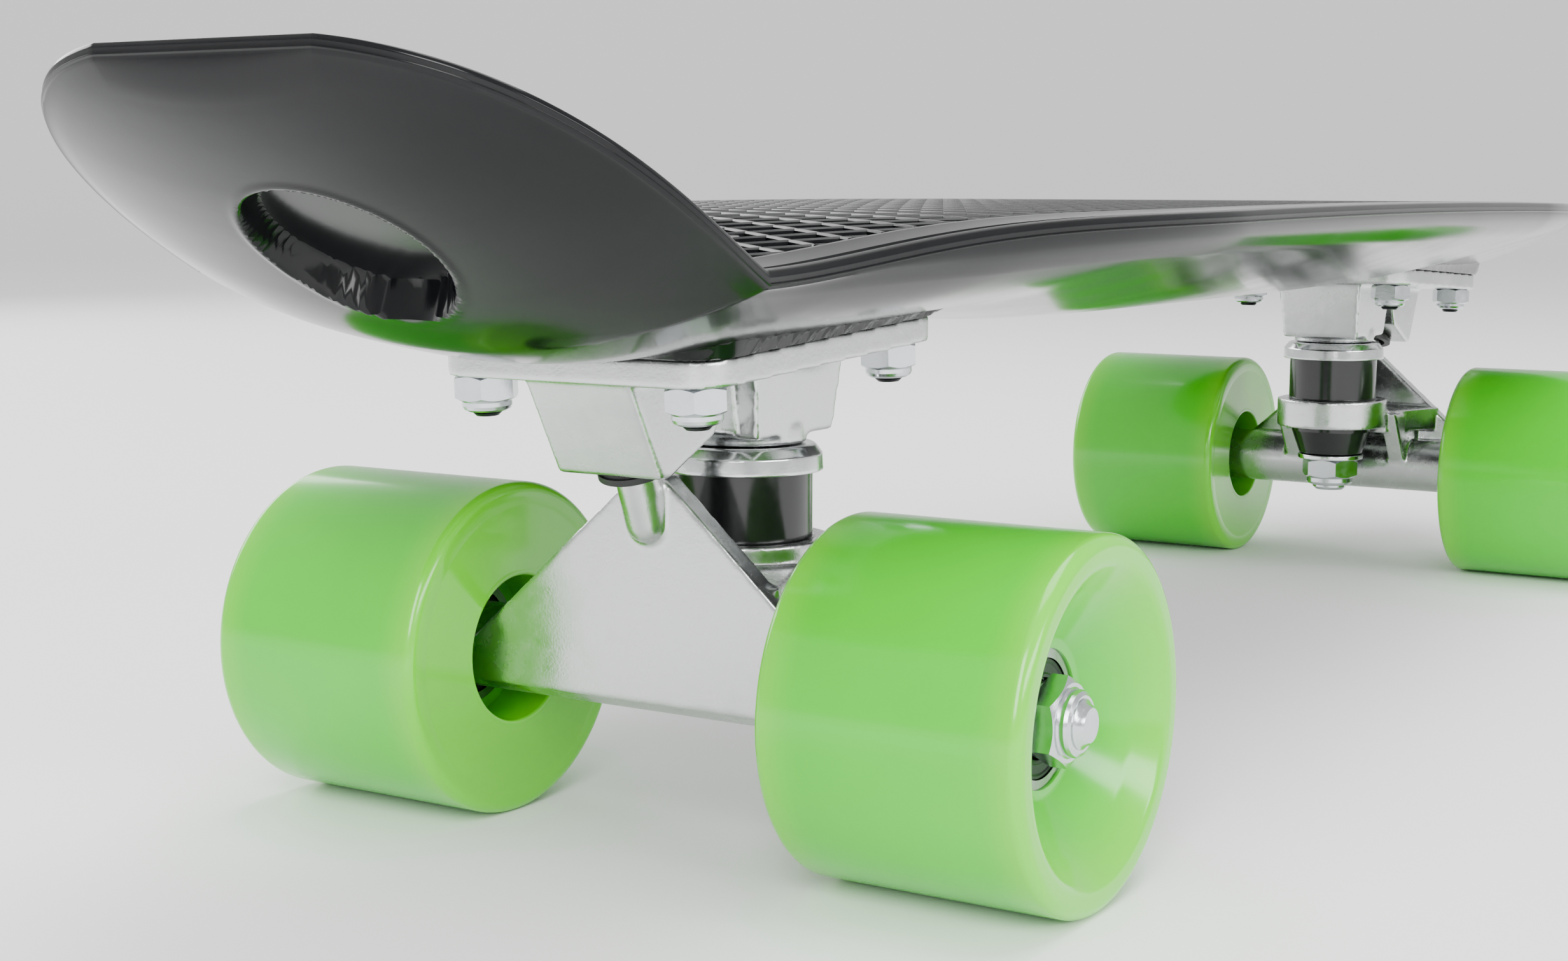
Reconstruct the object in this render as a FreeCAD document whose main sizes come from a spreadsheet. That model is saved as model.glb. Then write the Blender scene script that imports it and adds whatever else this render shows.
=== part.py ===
import FreeCAD, Part

"""A 22 inch mini cruiser skateboard as separate pieces, in millimetres.

The frame has +X towards the nose, +Y to the rider's left and +Z up. Its origin is on the ground
below the middle of the board. Each truck is drawn in a frame of its own, which stands on the ground
below the axle and has +X towards the middle of the board, and the front truck is the rear one
turned round.
"""

import math
import os

import Sketcher

# Driving dimensions. Each one is a cell of the document's spreadsheet, under this name.
DIMENSIONS = {
    # deck, seen from above
    "deck_half_length": 279.25,
    "deck_half_width": 76.0,
    "tail_half_width": 53.4,
    "flare_start": 110.0,
    "flare_run": 122.0,
    "tail_run": 47.25,
    "tail_power": 2.6,
    "nose_run": 184.6,
    "nose_power": 1.6,
    "tail_flat": 1.35,
    "nose_flat": 3.0,
    # deck, seen from the side: the height of its edge
    "crest_middle": 106.65,
    "crest_drop": 4.4,
    "dip_depth": 5.0,
    "dip_spread": 41.3,
    "kick_root": 229.0,
    "kick_slope": 0.545,
    "keel_middle": 84.0,
    "keel_tail_wall": 11.6,
    "keel_tail_tip_wall": 4.6,
    "keel_nose_tip_wall": 6.2,
    # deck edge bead and the recess that it goes round
    "bead_height": 4.6,
    "bead_fade": 3.0,
    "bead_fade_start": 170.0,
    "bead_fade_run": 50.0,
    "ridge_inset": 1.5,
    "ridge_rise": 0.9,
    "strip_inset": 4.0,
    "rim_inset": 9.0,
    "rim_rise": 1.0,
    "rim_crown": 1.05,
    "recess_depth": 2.6,
    "tip_recess": 0.1,
    "dish_radius": 15.0,
    "dish_depth": 5.0,
    "dish_from_root": 24.0,
    "dish_wall": 12.1,
    "dish_lean": 31.8,
    # trucks
    "rear_axle": 174.0,
    "front_axle": 181.5,
    "axle_height": 29.5,
    "axle_radius": 3.97,
    "axle_half_length": 76.5,
    "hanger_half_width": 43.4,
    # baseplate, in the truck's frame
    "plate_outer": 30.3,
    "plate_inner": 42.7,
    "plate_half_width": 27.3,
    "plate_thickness": 4.5,
    "plate_corner": 7.0,
    "plate_outer_height": 80.1,
    "plate_inner_height": 84.2,
    "pad_sink": 0.8,
    "pad_margin": 0.6,
    "pad_height": 4.0,
    "bolt_outer": 24.4,
    "bolt_inner": 35.0,
    "bolt_side": 20.65,
    # the baseplate's pedestal, which holds the pivot cup
    "pedestal_width": 20.6,
    "pedestal_outer": 28.2,
    "pedestal_inner": 3.0,
    "pedestal_toe": 18.9,
    "pedestal_toe_height": 64.3,
    "mouth_outer": 16.0,
    "mouth_outer_height": 64.6,
    "mouth_inner": 3.4,
    "mouth_inner_height": 70.4,
    # the rib between the pedestal and the kingpin block
    "rib_width": 13.0,
    "rib_outer": 10.0,
    "rib_inner": 18.0,
    "rib_low_outer": 6.0,
    "rib_low_outer_height": 71.0,
    "rib_low_inner": 12.0,
    "rib_low_inner_height": 68.5,
    # the block that holds the kingpin
    "block_outer": 8.5,
    "block_inner": 33.0,
    "block_half_width": 10.8,
    "block_spread": 2.4,
    "block_foot_radius": 11.2,
    "block_foot_height": 1.6,
    "buried": 1.0,
    # kingpin and what is on it, from the top down
    "kingpin_place": 20.35,
    "kingpin_radius": 4.75,
    "kingpin_head_radius": 7.4,
    "kingpin_head_under": 80.0,
    "kingpin_head_top": 85.6,
    "kingpin_end": 23.4,
    "block_bottom": 66.5,
    "cup_washer_rim": 61.6,
    "cup_washer_radius": 14.2,
    "washer_thickness": 1.5,
    "ring_top": 50.0,
    "ring_bottom": 42.0,
    "ring_radius": 15.5,
    "ring_hole": 7.0,
    "seat_depth": 0.8,
    "barrel_radius": 12.4,
    "cone_top_radius": 11.3,
    "cone_end_radius": 9.0,
    "cone_end": 33.9,
    "road_washer_radius": 9.4,
    "king_nut_flats": 14.2,
    "king_nut_hex_height": 5.4,
    "king_nut_collar_height": 2.2,
    "king_nut_collar_radius": 6.6,
    "pin_chamfer": 0.8,
    "sliding_gap": 0.1,
    # pivot
    "ball_back": 13.2,
    "ball_height": 69.0,
    "ball_radius": 3.8,
    "pivot_lean": 20.0,
    "cup_radius": 5.8,
    "cup_mouth": 4.6,
    # hanger plate
    "face_back": 8.4,
    "face_thickness": 4.5,
    "face_apex": 66.07,
    "face_top": 63.4,
    "face_bottom": 24.8,
    "face_spread": 1.123,
    "boss_radius": 7.6,
    "stem_length": 14.0,
    # hanger arms, from the plate to the ring
    "arm_back": 6.0,
    "arm_back_half_width": 24.0,
    "arm_front": 16.0,
    "arm_front_half_width": 14.6,
    "arm_height": 6.5,
    "arm_drop": 2.0,
    "gusset_half_width": 18.0,
    "gusset_back": 5.0,
    "gusset_top": 44.0,
    "gusset_front": 18.0,
    "gusset_front_top": 46.0,
    "gusset_knee": 14.0,
    "gusset_knee_height": 40.0,
    "gusset_foot": 5.5,
    "gusset_foot_height": 28.0,
    "room_half_width": 13.2,
    "room_back": 2.5,
    "room_front": 24.0,
    "room_top": 39.9,
    "room_bottom": 23.0,
    # wheels and bearings
    "wheel_radius": 29.5,
    "wheel_half_width": 22.5,
    "wheel_track": 56.2,
    "wheel_core_radius": 12.9,
    "wheel_crest_radius": 25.3,
    "wheel_bowl_radius": 21.0,
    "wheel_bowl_depth": 3.5,
    "wheel_outer_round": 4.0,
    "wheel_inner_round": 3.5,
    "bearing_radius": 11.0,
    "bearing_width": 7.0,
    "bearing_land": 9.5,
    "inner_ring_radius": 6.05,
    "bearing_bore": 4.0,
    "ball_pitch": 7.75,
    "race_ball_radius": 1.98,
    "race_gap": 0.05,
    "spacer_length": 10.0,
    "spacer_radius": 5.4,
    "axle_washer_radius": 5.6,
    "axle_washer_thickness": 0.8,
    "axle_nut_flats": 12.7,
    "axle_nut_height": 6.0,
    # deck bolts
    "bolt_radius": 2.4,
    "bolt_head_radius": 4.6,
    "bolt_head_height": 2.6,
    "bolt_length": 29.0,
    "bolt_tip": 0.9,
    "bolt_nut_flats": 9.5,
    "bolt_nut_height": 6.0,
    "deck_boss_radius": 7.2,
    "boss_rise": 0.5,
    "hole_gap": 0.3,
    "nut_hex_share": 0.68,
    "nut_collar_share": 0.44,
    "insert_share": 0.37,
}

BALLS_PER_BEARING = 7
# the deck's edge has its full width where the deck is wider than this, each side of the middle
FULL_EDGE_HALF_WIDTH = 15.0
SHEET = "Sizes"


class Size:
    """A length with its value and the expression that works it out from the sheet's cells."""

    def __init__(self, value, text):
        self.value = float(value)
        self.text = text

    @staticmethod
    def of(other):
        return other if isinstance(other, Size) else Size(other, "(%.6f)" % other)

    def _with(self, sign, other, value):
        return Size(value, "(%s %s %s)" % (self.text, sign, Size.of(other).text))

    def __add__(self, other):
        return self._with("+", other, self.value + Size.of(other).value)

    def __sub__(self, other):
        return self._with("-", other, self.value - Size.of(other).value)

    def __mul__(self, other):
        return self._with("*", other, self.value * Size.of(other).value)

    def __truediv__(self, other):
        return self._with("/", other, self.value / Size.of(other).value)

    def __pow__(self, other):
        return self._with("^", other, self.value ** Size.of(other).value)

    def __neg__(self):
        return Size(0, "0") - self

    __radd__ = __add__

    def __rsub__(self, other):
        return Size.of(other) - self

    def __rmul__(self, other):
        return Size.of(other) * self

    def __rtruediv__(self, other):
        return Size.of(other) / self


def exp_of(size):
    return Size(math.exp(size.value), "exp(%s)" % size.text)


class Dims:
    """The driving dimensions by name, each as a Size bound to its cell."""

    def __init__(self, doc):
        self.sheet = doc.addObject("Spreadsheet::Sheet", SHEET)
        for row, (name, value) in enumerate(DIMENSIONS.items(), start=1):
            self.sheet.set("A%d" % row, name)
            self.sheet.set("B%d" % row, str(value))
            self.sheet.setAlias("B%d" % row, name)
            setattr(self, name, Size(value, "%s.%s" % (SHEET, name)))


doc = FreeCAD.newDocument("Skateboard")
d = Dims(doc)
doc.recompute()
nodes = []


# ---------------------------------------------------------------- general tools

def new_body(label):
    body = doc.addObject("PartDesign::Body", label)
    body.Label = label
    body.AllowCompound = True
    return body


def origin_plane(body, role):
    return [item for item in body.Origin.OriginFeatures if item.Role == role][0]


def new_sketch(body, role, offset=None):
    """A sketch on one of the body's origin planes, moved along the plane's normal by a Size."""
    sketch = body.newObject("Sketcher::SketchObject", body.Name + "_sketch")
    sketch.AttachmentSupport = [(origin_plane(body, role), "")]
    sketch.MapMode = "FlatFace"
    if offset is not None:
        sketch.setExpression("AttachmentOffset.Base.z", Size.of(offset).text)
    return sketch


def bind(sketch, kind, arguments, size):
    """Adds a driving constraint whose value comes from the sheet."""
    size = Size.of(size)
    index = sketch.addConstraint(Sketcher.Constraint(kind, *arguments, size.value))
    sketch.setExpression("Constraints[%d]" % index, size.text)


def place_vertex(sketch, edge, end, point):
    bind(sketch, "DistanceX", (edge, end), point[0])
    bind(sketch, "DistanceY", (edge, end), point[1])


def polygon(sketch, points):
    """A closed outline of straight edges through points, each a pair of Sizes."""
    points = [(Size.of(a), Size.of(b)) for a, b in points]
    first = sketch.GeometryCount
    count = len(points)
    vectors = [FreeCAD.Vector(a.value, b.value, 0) for a, b in points]
    for index in range(count):
        sketch.addGeometry(Part.LineSegment(vectors[index], vectors[(index + 1) % count]), False)
    for index in range(count):
        following = first + (index + 1) % count
        sketch.addConstraint(Sketcher.Constraint("Coincident", first + index, 2, following, 1))
        place_vertex(sketch, first + index, 1, points[index])


def circle(sketch, centre, radius):
    """A circle about a centre given as a pair of Sizes."""
    across, up = Size.of(centre[0]), Size.of(centre[1])
    radius = Size.of(radius)
    middle = FreeCAD.Vector(across.value, up.value, 0)
    round_edge = Part.Circle(middle, FreeCAD.Vector(0, 0, 1), radius.value)
    edge = sketch.addGeometry(round_edge, False)
    place_vertex(sketch, edge, 3, (across, up))
    bind(sketch, "Radius", (edge,), radius)


def hexagon(sketch, flats, centre=(0, 0)):
    """A hexagon by its size across flats, with two corners on the sketch's X axis."""
    corner = Size.of(flats) / math.sqrt(3)
    turns = [math.radians(60 * index) for index in range(6)]
    polygon(sketch, [(centre[0] + corner * math.cos(turn), centre[1] + corner * math.sin(turn))
                     for turn in turns])


def pad(body, sketch, length, reverse=False, both=False):
    feature = body.newObject("PartDesign::Pad", body.Name + "_pad")
    feature.Profile = sketch
    feature.setExpression("Length", Size.of(length).text)
    feature.Reversed = reverse
    feature.Midplane = both
    return feature


def pocket(body, sketch, length, reverse=False, both=False):
    """Cuts the sketch's shape out of the body and makes sure that something was cut."""
    doc.recompute()
    before = body.Shape.Volume
    feature = body.newObject("PartDesign::Pocket", body.Name + "_pocket")
    feature.Profile = sketch
    feature.setExpression("Length", Size.of(length).text)
    feature.Reversed = reverse
    feature.Midplane = both
    doc.recompute()
    if body.Shape.Volume > before - 0.5:
        raise ValueError("a pocket of %s cut nothing" % body.Label)
    return feature


def revolve(body, sketch, axis="V_Axis"):
    feature = body.newObject("PartDesign::Revolution", body.Name + "_turned")
    feature.Profile = sketch
    feature.ReferenceAxis = (sketch, [axis])
    feature.Angle = 360
    return feature


def add_ball(body, x, z, radius):
    """Adds a sphere, centred on the body's XZ plane."""
    ball = body.newObject("PartDesign::AdditiveSphere", body.Name + "_ball")
    ball.setExpression("Radius", Size.of(radius).text)
    ball.setExpression("Placement.Base.x", Size.of(x).text)
    ball.setExpression("Placement.Base.z", Size.of(z).text)
    return ball


def round_edges(body, base, chosen, radius):
    """Fillets the edges of base that the test called chosen picks."""
    doc.recompute()
    edges = ["Edge%d" % (index + 1) for index, edge in enumerate(base.Shape.Edges) if chosen(edge)]
    if not edges:
        raise ValueError("no edge to round on %s" % body.Label)
    feature = body.newObject("PartDesign::Fillet", body.Name + "_round")
    feature.Base = (base, edges)
    feature.setExpression("Radius", Size.of(radius).text)
    return feature


def turned(label, profile, role="XZ_Plane"):
    """A body turned about the plane's upright axis from (radius, height) corners."""
    body = new_body(label)
    sketch = new_sketch(body, role)
    polygon(sketch, profile)
    revolve(body, sketch)
    return body


def tube_profile(inner, outer, low, high):
    return [(inner, low), (outer, low), (outer, high), (inner, high)]


def keep(item):
    """Marks an object as a finished piece, to be written out under its Label."""
    nodes.append(item)
    return item


def group(label, pieces):
    """One node of separate solids: copies of source shapes at their places."""
    doc.recompute()
    solids = []
    for source, places in pieces:
        for place in places:
            solids.append(source.Shape.transformed(place.toMatrix(), True))
    item = doc.addObject("Part::Feature", label)
    item.Label = label
    item.Shape = Part.Compound(solids)
    return keep(item)


def shift(x, y, z, turn=None):
    return FreeCAD.Placement(FreeCAD.Vector(x, y, z), turn or FreeCAD.Rotation())


ALONG_LEFT = FreeCAD.Rotation(FreeCAD.Vector(1, 0, 0), -90)
ALONG_RIGHT = FreeCAD.Rotation(FreeCAD.Vector(1, 0, 0), 90)


# ---------------------------------------------------------------- deck

def eased(start, run, x):
    """Goes smoothly from 0 to 1 as x falls from -start to -start - run."""
    share = (0 - start - x) / run
    if share.value <= 0:
        return Size.of(0)
    return share * share * (3 - 2 * share) if share.value < 1 else Size.of(1)


def half_width(x):
    """Half the deck's width at a place along it: an oval nose, a straight middle, a narrow tail."""
    taper = (d.deck_half_width - d.tail_half_width) * eased(d.flare_start, d.flare_run, x)
    if x.value < DIMENSIONS["tail_run"] - DIMENSIONS["deck_half_length"]:
        reach = (d.tail_run - d.deck_half_length - x) / (d.tail_run + d.tail_flat)
        return d.tail_half_width * (1 - reach ** d.tail_power) ** (1 / d.tail_power)
    if x.value > DIMENSIONS["deck_half_length"] - DIMENSIONS["nose_run"]:
        reach = (x - d.deck_half_length + d.nose_run) / (d.nose_run + d.nose_flat)
        return d.deck_half_width * (1 - reach ** d.nose_power) ** (1 / d.nose_power)
    return d.deck_half_width - taper


def crest(x):
    """Height of the deck's edge: a slight arch, a dip before the kick and the kick itself."""
    from_root = x + d.kick_root
    arch = d.crest_drop * (x / d.deck_half_length) * (x / d.deck_half_length)
    nearness = exp_of(0 - (from_root / d.dip_spread) * (from_root / d.dip_spread))
    height = d.crest_middle - arch - d.dip_depth * nearness
    if from_root.value < 0:
        height = height - d.kick_slope * from_root
    return height


def plate_rise():
    return (d.plate_inner_height - d.plate_outer_height) / (d.plate_outer + d.plate_inner)


def plate_underside(along):
    """Height of a baseplate's underside at a place in the truck's frame."""
    return d.plate_outer_height + plate_rise() * (along + d.plate_outer)


def keel_on_truck(axle, direction, along):
    """Place and height of the deck's lowest line over a truck, just below the plate's top."""
    x = direction * axle - direction * along
    return (x, plate_underside(Size.of(along)) + d.plate_thickness - d.pad_sink)


def deck_stations():
    """Places along the deck, each with the height of the deck's lowest line there."""
    tip = d.deck_half_length
    tail = [(0 - tip, d.keel_tail_tip_wall), (1.2 - tip, d.keel_tail_tip_wall + 1),
            (4.5 - tip, 7.6), (10 - tip, 9.6), (19 - tip, d.keel_tail_wall),
            (34 - tip, d.keel_tail_wall + 1), (44 - tip, d.keel_tail_wall + 2),
            (0 - d.kick_root, d.keel_tail_wall + 0.6)]
    stations = [(x, crest(x) - wall) for x, wall in tail]
    stations.append((4 - d.kick_root, d.keel_middle + 1.2))
    for along in (0 - d.plate_outer - 8, 0 - d.plate_outer, Size.of(-11), Size.of(14),
                  d.plate_inner):
        stations.append(keel_on_truck(d.rear_axle, -1, along))
    stations.append((Size.of(-112), d.keel_middle + 2.6))
    stations.append((Size.of(-84), d.keel_middle + 0.5))
    stations.append((Size.of(-50), d.keel_middle * 1))
    stations.append((Size.of(0), d.keel_middle * 1))
    stations.append((Size.of(50), d.keel_middle * 1))
    stations.append((Size.of(88), d.keel_middle + 0.5))
    stations.append((Size.of(116), d.keel_middle + 2.2))
    stations.append(keel_on_truck(d.front_axle, 1, d.plate_inner))
    stations.append(keel_on_truck(d.front_axle, 1, 5))
    stations.append(keel_on_truck(d.front_axle, 1, 0 - d.plate_outer))
    stations += [(x, crest(x) - wall) for x, wall in
                 ((tip - 50, 14.6), (tip - 34, 11.4), (tip - 20, 9.2), (tip - 10, 8.0),
                  (tip - 4, 7.2), (tip - 1.2, 6.8), (tip, d.keel_nose_tip_wall))]
    return stations


def rim_rise(x):
    """How far the rim of the ribbed area stands above the deck's outer edge."""
    return d.rim_rise + d.rim_crown * (x / d.deck_half_length) * (x / d.deck_half_length)


def deck_section(body, x, keel, at_tip):
    """The deck's cross-section: bead, rising strip, rim and recess above a round underside.

    At a tip the bead runs straight across, so the rim stays at the bead's height and there's no
    recess.
    """
    half, top = half_width(x), crest(x)
    low = top - d.bead_height + d.bead_fade * eased(d.bead_fade_start, d.bead_fade_run, x)
    narrow = 1.0 if half.value > FULL_EDGE_HALF_WIDTH else 0.5
    rim = top + (d.ridge_rise + d.tip_recess if at_tip else rim_rise(x))
    recess = d.tip_recess if at_tip else d.recess_depth
    sketch = new_sketch(body, "YZ_Plane", x)
    side = [(half, low), (half, top), (half - d.ridge_inset * narrow, top + d.ridge_rise),
            (half - d.strip_inset * narrow, top + d.ridge_rise + d.tip_recess / 2),
            (half - d.rim_inset * narrow, rim), (half - (d.rim_inset + 0.8) * narrow, rim - recess)]
    corners = side + [(-across, up) for across, up in reversed(side)]
    vectors = [FreeCAD.Vector(a.value, b.value, 0) for a, b in corners]
    for start, end in zip(vectors, vectors[1:]):
        sketch.addGeometry(Part.LineSegment(start, end), False)
    bottom = FreeCAD.Vector(0, keel.value, 0)
    underside = sketch.addGeometry(Part.Arc(vectors[-1], bottom, vectors[0]), False)
    for edge in range(len(corners) - 1):
        place_vertex(sketch, edge, 1, corners[edge])
        if edge:
            sketch.addConstraint(Sketcher.Constraint("Coincident", edge - 1, 2, edge, 1))
    place_vertex(sketch, underside - 1, 2, corners[-1])
    sketch.addConstraint(Sketcher.Constraint("Coincident", underside - 1, 2, underside, 1))
    sketch.addConstraint(Sketcher.Constraint("Coincident", underside, 2, 0, 1))
    sink = low - keel
    bind(sketch, "Radius", (underside,), (half * half + sink * sink) / (2 * sink))
    return sketch


def tilted_sketch(body, x, z, lean):
    """A sketch parallel to Y at (x, z), whose normal leans from +Z towards +X by lean degrees."""
    sketch = new_sketch(body, "XY_Plane")
    sketch.setExpression("AttachmentOffset.Base.x", Size.of(x).text)
    sketch.setExpression("AttachmentOffset.Base.z", Size.of(z).text)
    sketch.AttachmentOffset = FreeCAD.Placement(
        FreeCAD.Vector(Size.of(x).value, 0, Size.of(z).value),
        FreeCAD.Rotation(FreeCAD.Vector(0, 1, 0), lean))
    return sketch


def plate_lean():
    return math.degrees(math.atan(plate_rise().value))


def bolt_top():
    """Height of a deck bolt's head above the baseplate's underside."""
    return d.bolt_length - d.bolt_nut_height - d.bolt_tip


def make_deck():
    body = new_body("deck")
    sketches = []
    stations = deck_stations()
    closed_ends = 2
    for index, (x, keel) in enumerate(stations):
        at_tip = min(index, len(stations) - 1 - index) <= closed_ends
        sketches.append(deck_section(body, x, keel, at_tip))
    loft = body.newObject("PartDesign::AdditiveLoft", "deck_hull")
    loft.Profile = sketches[0]
    loft.Sections = sketches[1:]
    loft.Ruled = True
    doc.recompute()

    # flat pads over the baseplates, and the holes for the truck bolts
    for axle, direction in ((d.rear_axle, -1), (d.front_axle, 1)):
        middle = (d.plate_inner - d.plate_outer) / 2
        x = direction * axle - direction * middle
        z = plate_underside(middle) + d.plate_thickness
        lean = direction * plate_lean()
        reach = (d.plate_inner + d.plate_outer) / 2 + d.pad_margin
        side = d.plate_half_width + d.pad_margin
        for work in (lambda item: pad(body, item, d.pad_height),
                     lambda item: pocket(body, item, d.pad_height)):
            sketch = tilted_sketch(body, x, z, lean)
            polygon(sketch, [(reach, side), (-reach, side), (-reach, -side), (reach, -side)])
            work(sketch)
        # a boss rises to each bolt's head, with a seat for the head and a hole for the shank
        boss_top = bolt_top() - d.plate_thickness + d.boss_rise
        seat_floor = bolt_top() - d.plate_thickness - d.bolt_head_height
        spots = [(-direction * along, side) for side in (d.bolt_side, -d.bolt_side)
                 for along in (d.bolt_inner - middle, 0 - d.bolt_outer - middle)]
        for radius, height, work in (
                (d.deck_boss_radius, Size.of(0), lambda item: pad(body, item, boss_top)),
                (d.bolt_head_radius + d.hole_gap, seat_floor,
                 lambda item: pocket(body, item, 12, reverse=True)),
                (d.bolt_radius + d.hole_gap, Size.of(0),
                 lambda item: pocket(body, item, 60, both=True))):
            sketch = tilted_sketch(body, x + height * math.sin(math.radians(lean)),
                                   z + height * math.cos(math.radians(lean)), lean)
            for spot in spots:
                circle(sketch, spot, radius)
            work(sketch)

    # the round blind recess under the kick
    lean = DIMENSIONS["dish_lean"]
    x = 0 - d.kick_root - d.dish_from_root
    z = crest(x) - d.dish_wall + d.dish_depth / math.cos(math.radians(lean))
    dish = tilted_sketch(body, x, z, lean)
    circle(dish, (0, 0), d.dish_radius)
    pocket(body, dish, 20)
    return keep(body)


# ---------------------------------------------------------------- trucks

def truck_place(end):
    """Where a truck's frame stands, and how it is turned, for end "rear" or "front"."""
    if end == "rear":
        return shift(-d.rear_axle.value, 0, 0)
    return shift(d.front_axle.value, 0, 0, FreeCAD.Rotation(FreeCAD.Vector(0, 0, 1), 180))


def bind_to_truck(item, end, along=0, height=0):
    """Puts a piece at its place in a truck's frame, with its Placement bound to the sheet."""
    direction = -1 if end == "rear" else 1
    axle = d.rear_axle if end == "rear" else d.front_axle
    place = direction * axle - direction * Size.of(along)
    item.setExpression("Placement.Base.x", place.text)
    item.setExpression("Placement.Base.z", Size.of(height).text)
    return keep(item)


def turn_with_truck(item, end, turn=None):
    half_turn = FreeCAD.Rotation(FreeCAD.Vector(0, 0, 1), 0 if end == "rear" else 180)
    rotation = half_turn.multiply(turn) if turn else half_turn
    item.Placement = FreeCAD.Placement(item.Placement.Base, rotation)


def pivot_turn():
    """Turns +Z to the direction of the pivot's stem, which leans away from the kingpin."""
    return FreeCAD.Rotation(FreeCAD.Vector(0, 1, 0), -DIMENSIONS["pivot_lean"])


def make_baseplate(end):
    """A sloping plate with a pedestal for the pivot cup and a block for the kingpin."""
    body = new_body(end + "_baseplate")
    outline = new_sketch(body, "XZ_Plane")
    outer, inner = 0 - d.plate_outer, d.plate_inner
    polygon(outline, [(outer, plate_underside(outer)), (inner, plate_underside(inner)),
                      (inner, plate_underside(inner) + d.plate_thickness),
                      (outer, plate_underside(outer) + d.plate_thickness)])
    plate = pad(body, outline, d.plate_half_width * 2, both=True)
    round_edges(
        body, plate,
        lambda edge: abs(edge.Vertexes[0].X - edge.Vertexes[1].X) < 0.01
        and abs(edge.Vertexes[0].Y - edge.Vertexes[1].Y) < 0.01, d.plate_corner)

    def in_plate(along):
        """A place along the truck with a height just inside the plate, so that shapes fuse."""
        return (along, plate_underside(along) + d.buried)

    pedestal = new_sketch(body, "XZ_Plane")
    polygon(pedestal, [in_plate(-d.pedestal_outer), (-d.pedestal_toe, d.pedestal_toe_height),
                       (-d.mouth_outer, d.mouth_outer_height),
                       (-d.mouth_inner, d.mouth_inner_height), in_plate(d.pedestal_inner)])
    pad(body, pedestal, d.pedestal_width, both=True)

    rib = new_sketch(body, "XZ_Plane")
    polygon(rib, [in_plate(-d.rib_outer), (-d.rib_low_outer, d.rib_low_outer_height),
                  (d.rib_low_inner, d.rib_low_inner_height), in_plate(d.rib_inner)])
    pad(body, rib, d.rib_width, both=True)

    # the kingpin block grows wider towards the plate
    block_sketches = []
    for height, spread in ((d.block_bottom + d.block_foot_height, Size.of(0)),
                           (in_plate(d.kingpin_place)[1], d.block_spread)):
        block = new_sketch(body, "XY_Plane", height)
        side = d.block_half_width + spread / 2
        start, stop = d.block_outer - spread, d.block_inner + spread
        polygon(block, [(start, -side), (stop, -side), (stop, side), (start, side)])
        block_sketches.append(block)
    block = body.newObject("PartDesign::AdditiveLoft", "kingpin_block")
    block.Profile = block_sketches[0]
    block.Sections = block_sketches[1:]
    block.Ruled = True
    doc.recompute()
    foot = new_sketch(body, "XY_Plane", d.block_bottom)
    circle(foot, (d.kingpin_place, 0), d.block_foot_radius)
    pad(body, foot, d.block_foot_height * 2)

    bore = new_sketch(body, "XY_Plane", d.block_bottom)
    circle(bore, (d.kingpin_place, 0), d.kingpin_radius + 0.05)
    pocket(body, bore, 40, reverse=True)
    head_room = new_sketch(body, "XY_Plane", d.kingpin_head_under)
    circle(head_room, (d.kingpin_place, 0), d.kingpin_head_radius + 0.1)
    pocket(body, head_room, 20, reverse=True)

    socket = tilted_sketch(body, 0 - d.ball_back, d.ball_height, -DIMENSIONS["pivot_lean"])
    circle(socket, (0, 0), d.cup_radius)
    pocket(body, socket, d.cup_mouth + 6)
    socket_end = tilted_sketch(body, 0 - d.ball_back, d.ball_height, -DIMENSIONS["pivot_lean"])
    circle(socket_end, (0, 0), d.cup_radius)
    pocket(body, socket_end, d.ball_radius + 1.9, reverse=True)

    middle = (d.plate_inner - d.plate_outer) / 2
    holes = tilted_sketch(body, middle, plate_underside(middle), -plate_lean())
    for along in (d.bolt_inner - middle, 0 - d.bolt_outer - middle):
        for side in (d.bolt_side, -d.bolt_side):
            circle(holes, (along, side), d.bolt_radius + d.hole_gap)
    pocket(body, holes, 40, both=True)
    turn_with_truck(body, end)
    return bind_to_truck(body, end)


def make_pivot_cup(end):
    """A rubber cup: a round-bottomed bore that opens a little towards its mouth."""
    wall_end = d.ball_radius + 1.9
    body = turned(end + "_pivot_cup", [
        (0, d.ball_radius + 0.3), (2.4, d.ball_radius - 0.25), (d.ball_radius - 0.1, 2.1),
        (d.ball_radius + 0.35, 0.4),
        (d.ball_radius + 0.9, 0 - d.cup_mouth), (d.cup_radius + 0.5, 0 - d.cup_mouth),
        (d.cup_radius + 0.5, 1.1 - d.cup_mouth), (d.cup_radius, 1.1 - d.cup_mouth),
        (d.cup_radius, wall_end), (0, wall_end)])
    turn_with_truck(body, end, pivot_turn())
    return bind_to_truck(body, end, 0 - d.ball_back, d.ball_height)


def make_kingpin(end):
    body = turned(end + "_kingpin", [
        (0, d.kingpin_end), (d.kingpin_radius - d.pin_chamfer, d.kingpin_end),
        (d.kingpin_radius, d.kingpin_end + d.pin_chamfer),
        (d.kingpin_radius, d.kingpin_head_under), (d.kingpin_head_radius, d.kingpin_head_under),
        (d.kingpin_head_radius, d.kingpin_head_top - d.pin_chamfer),
        (d.kingpin_head_radius - d.pin_chamfer, d.kingpin_head_top), (0, d.kingpin_head_top)])
    return bind_to_truck(body, end, d.kingpin_place)


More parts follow.
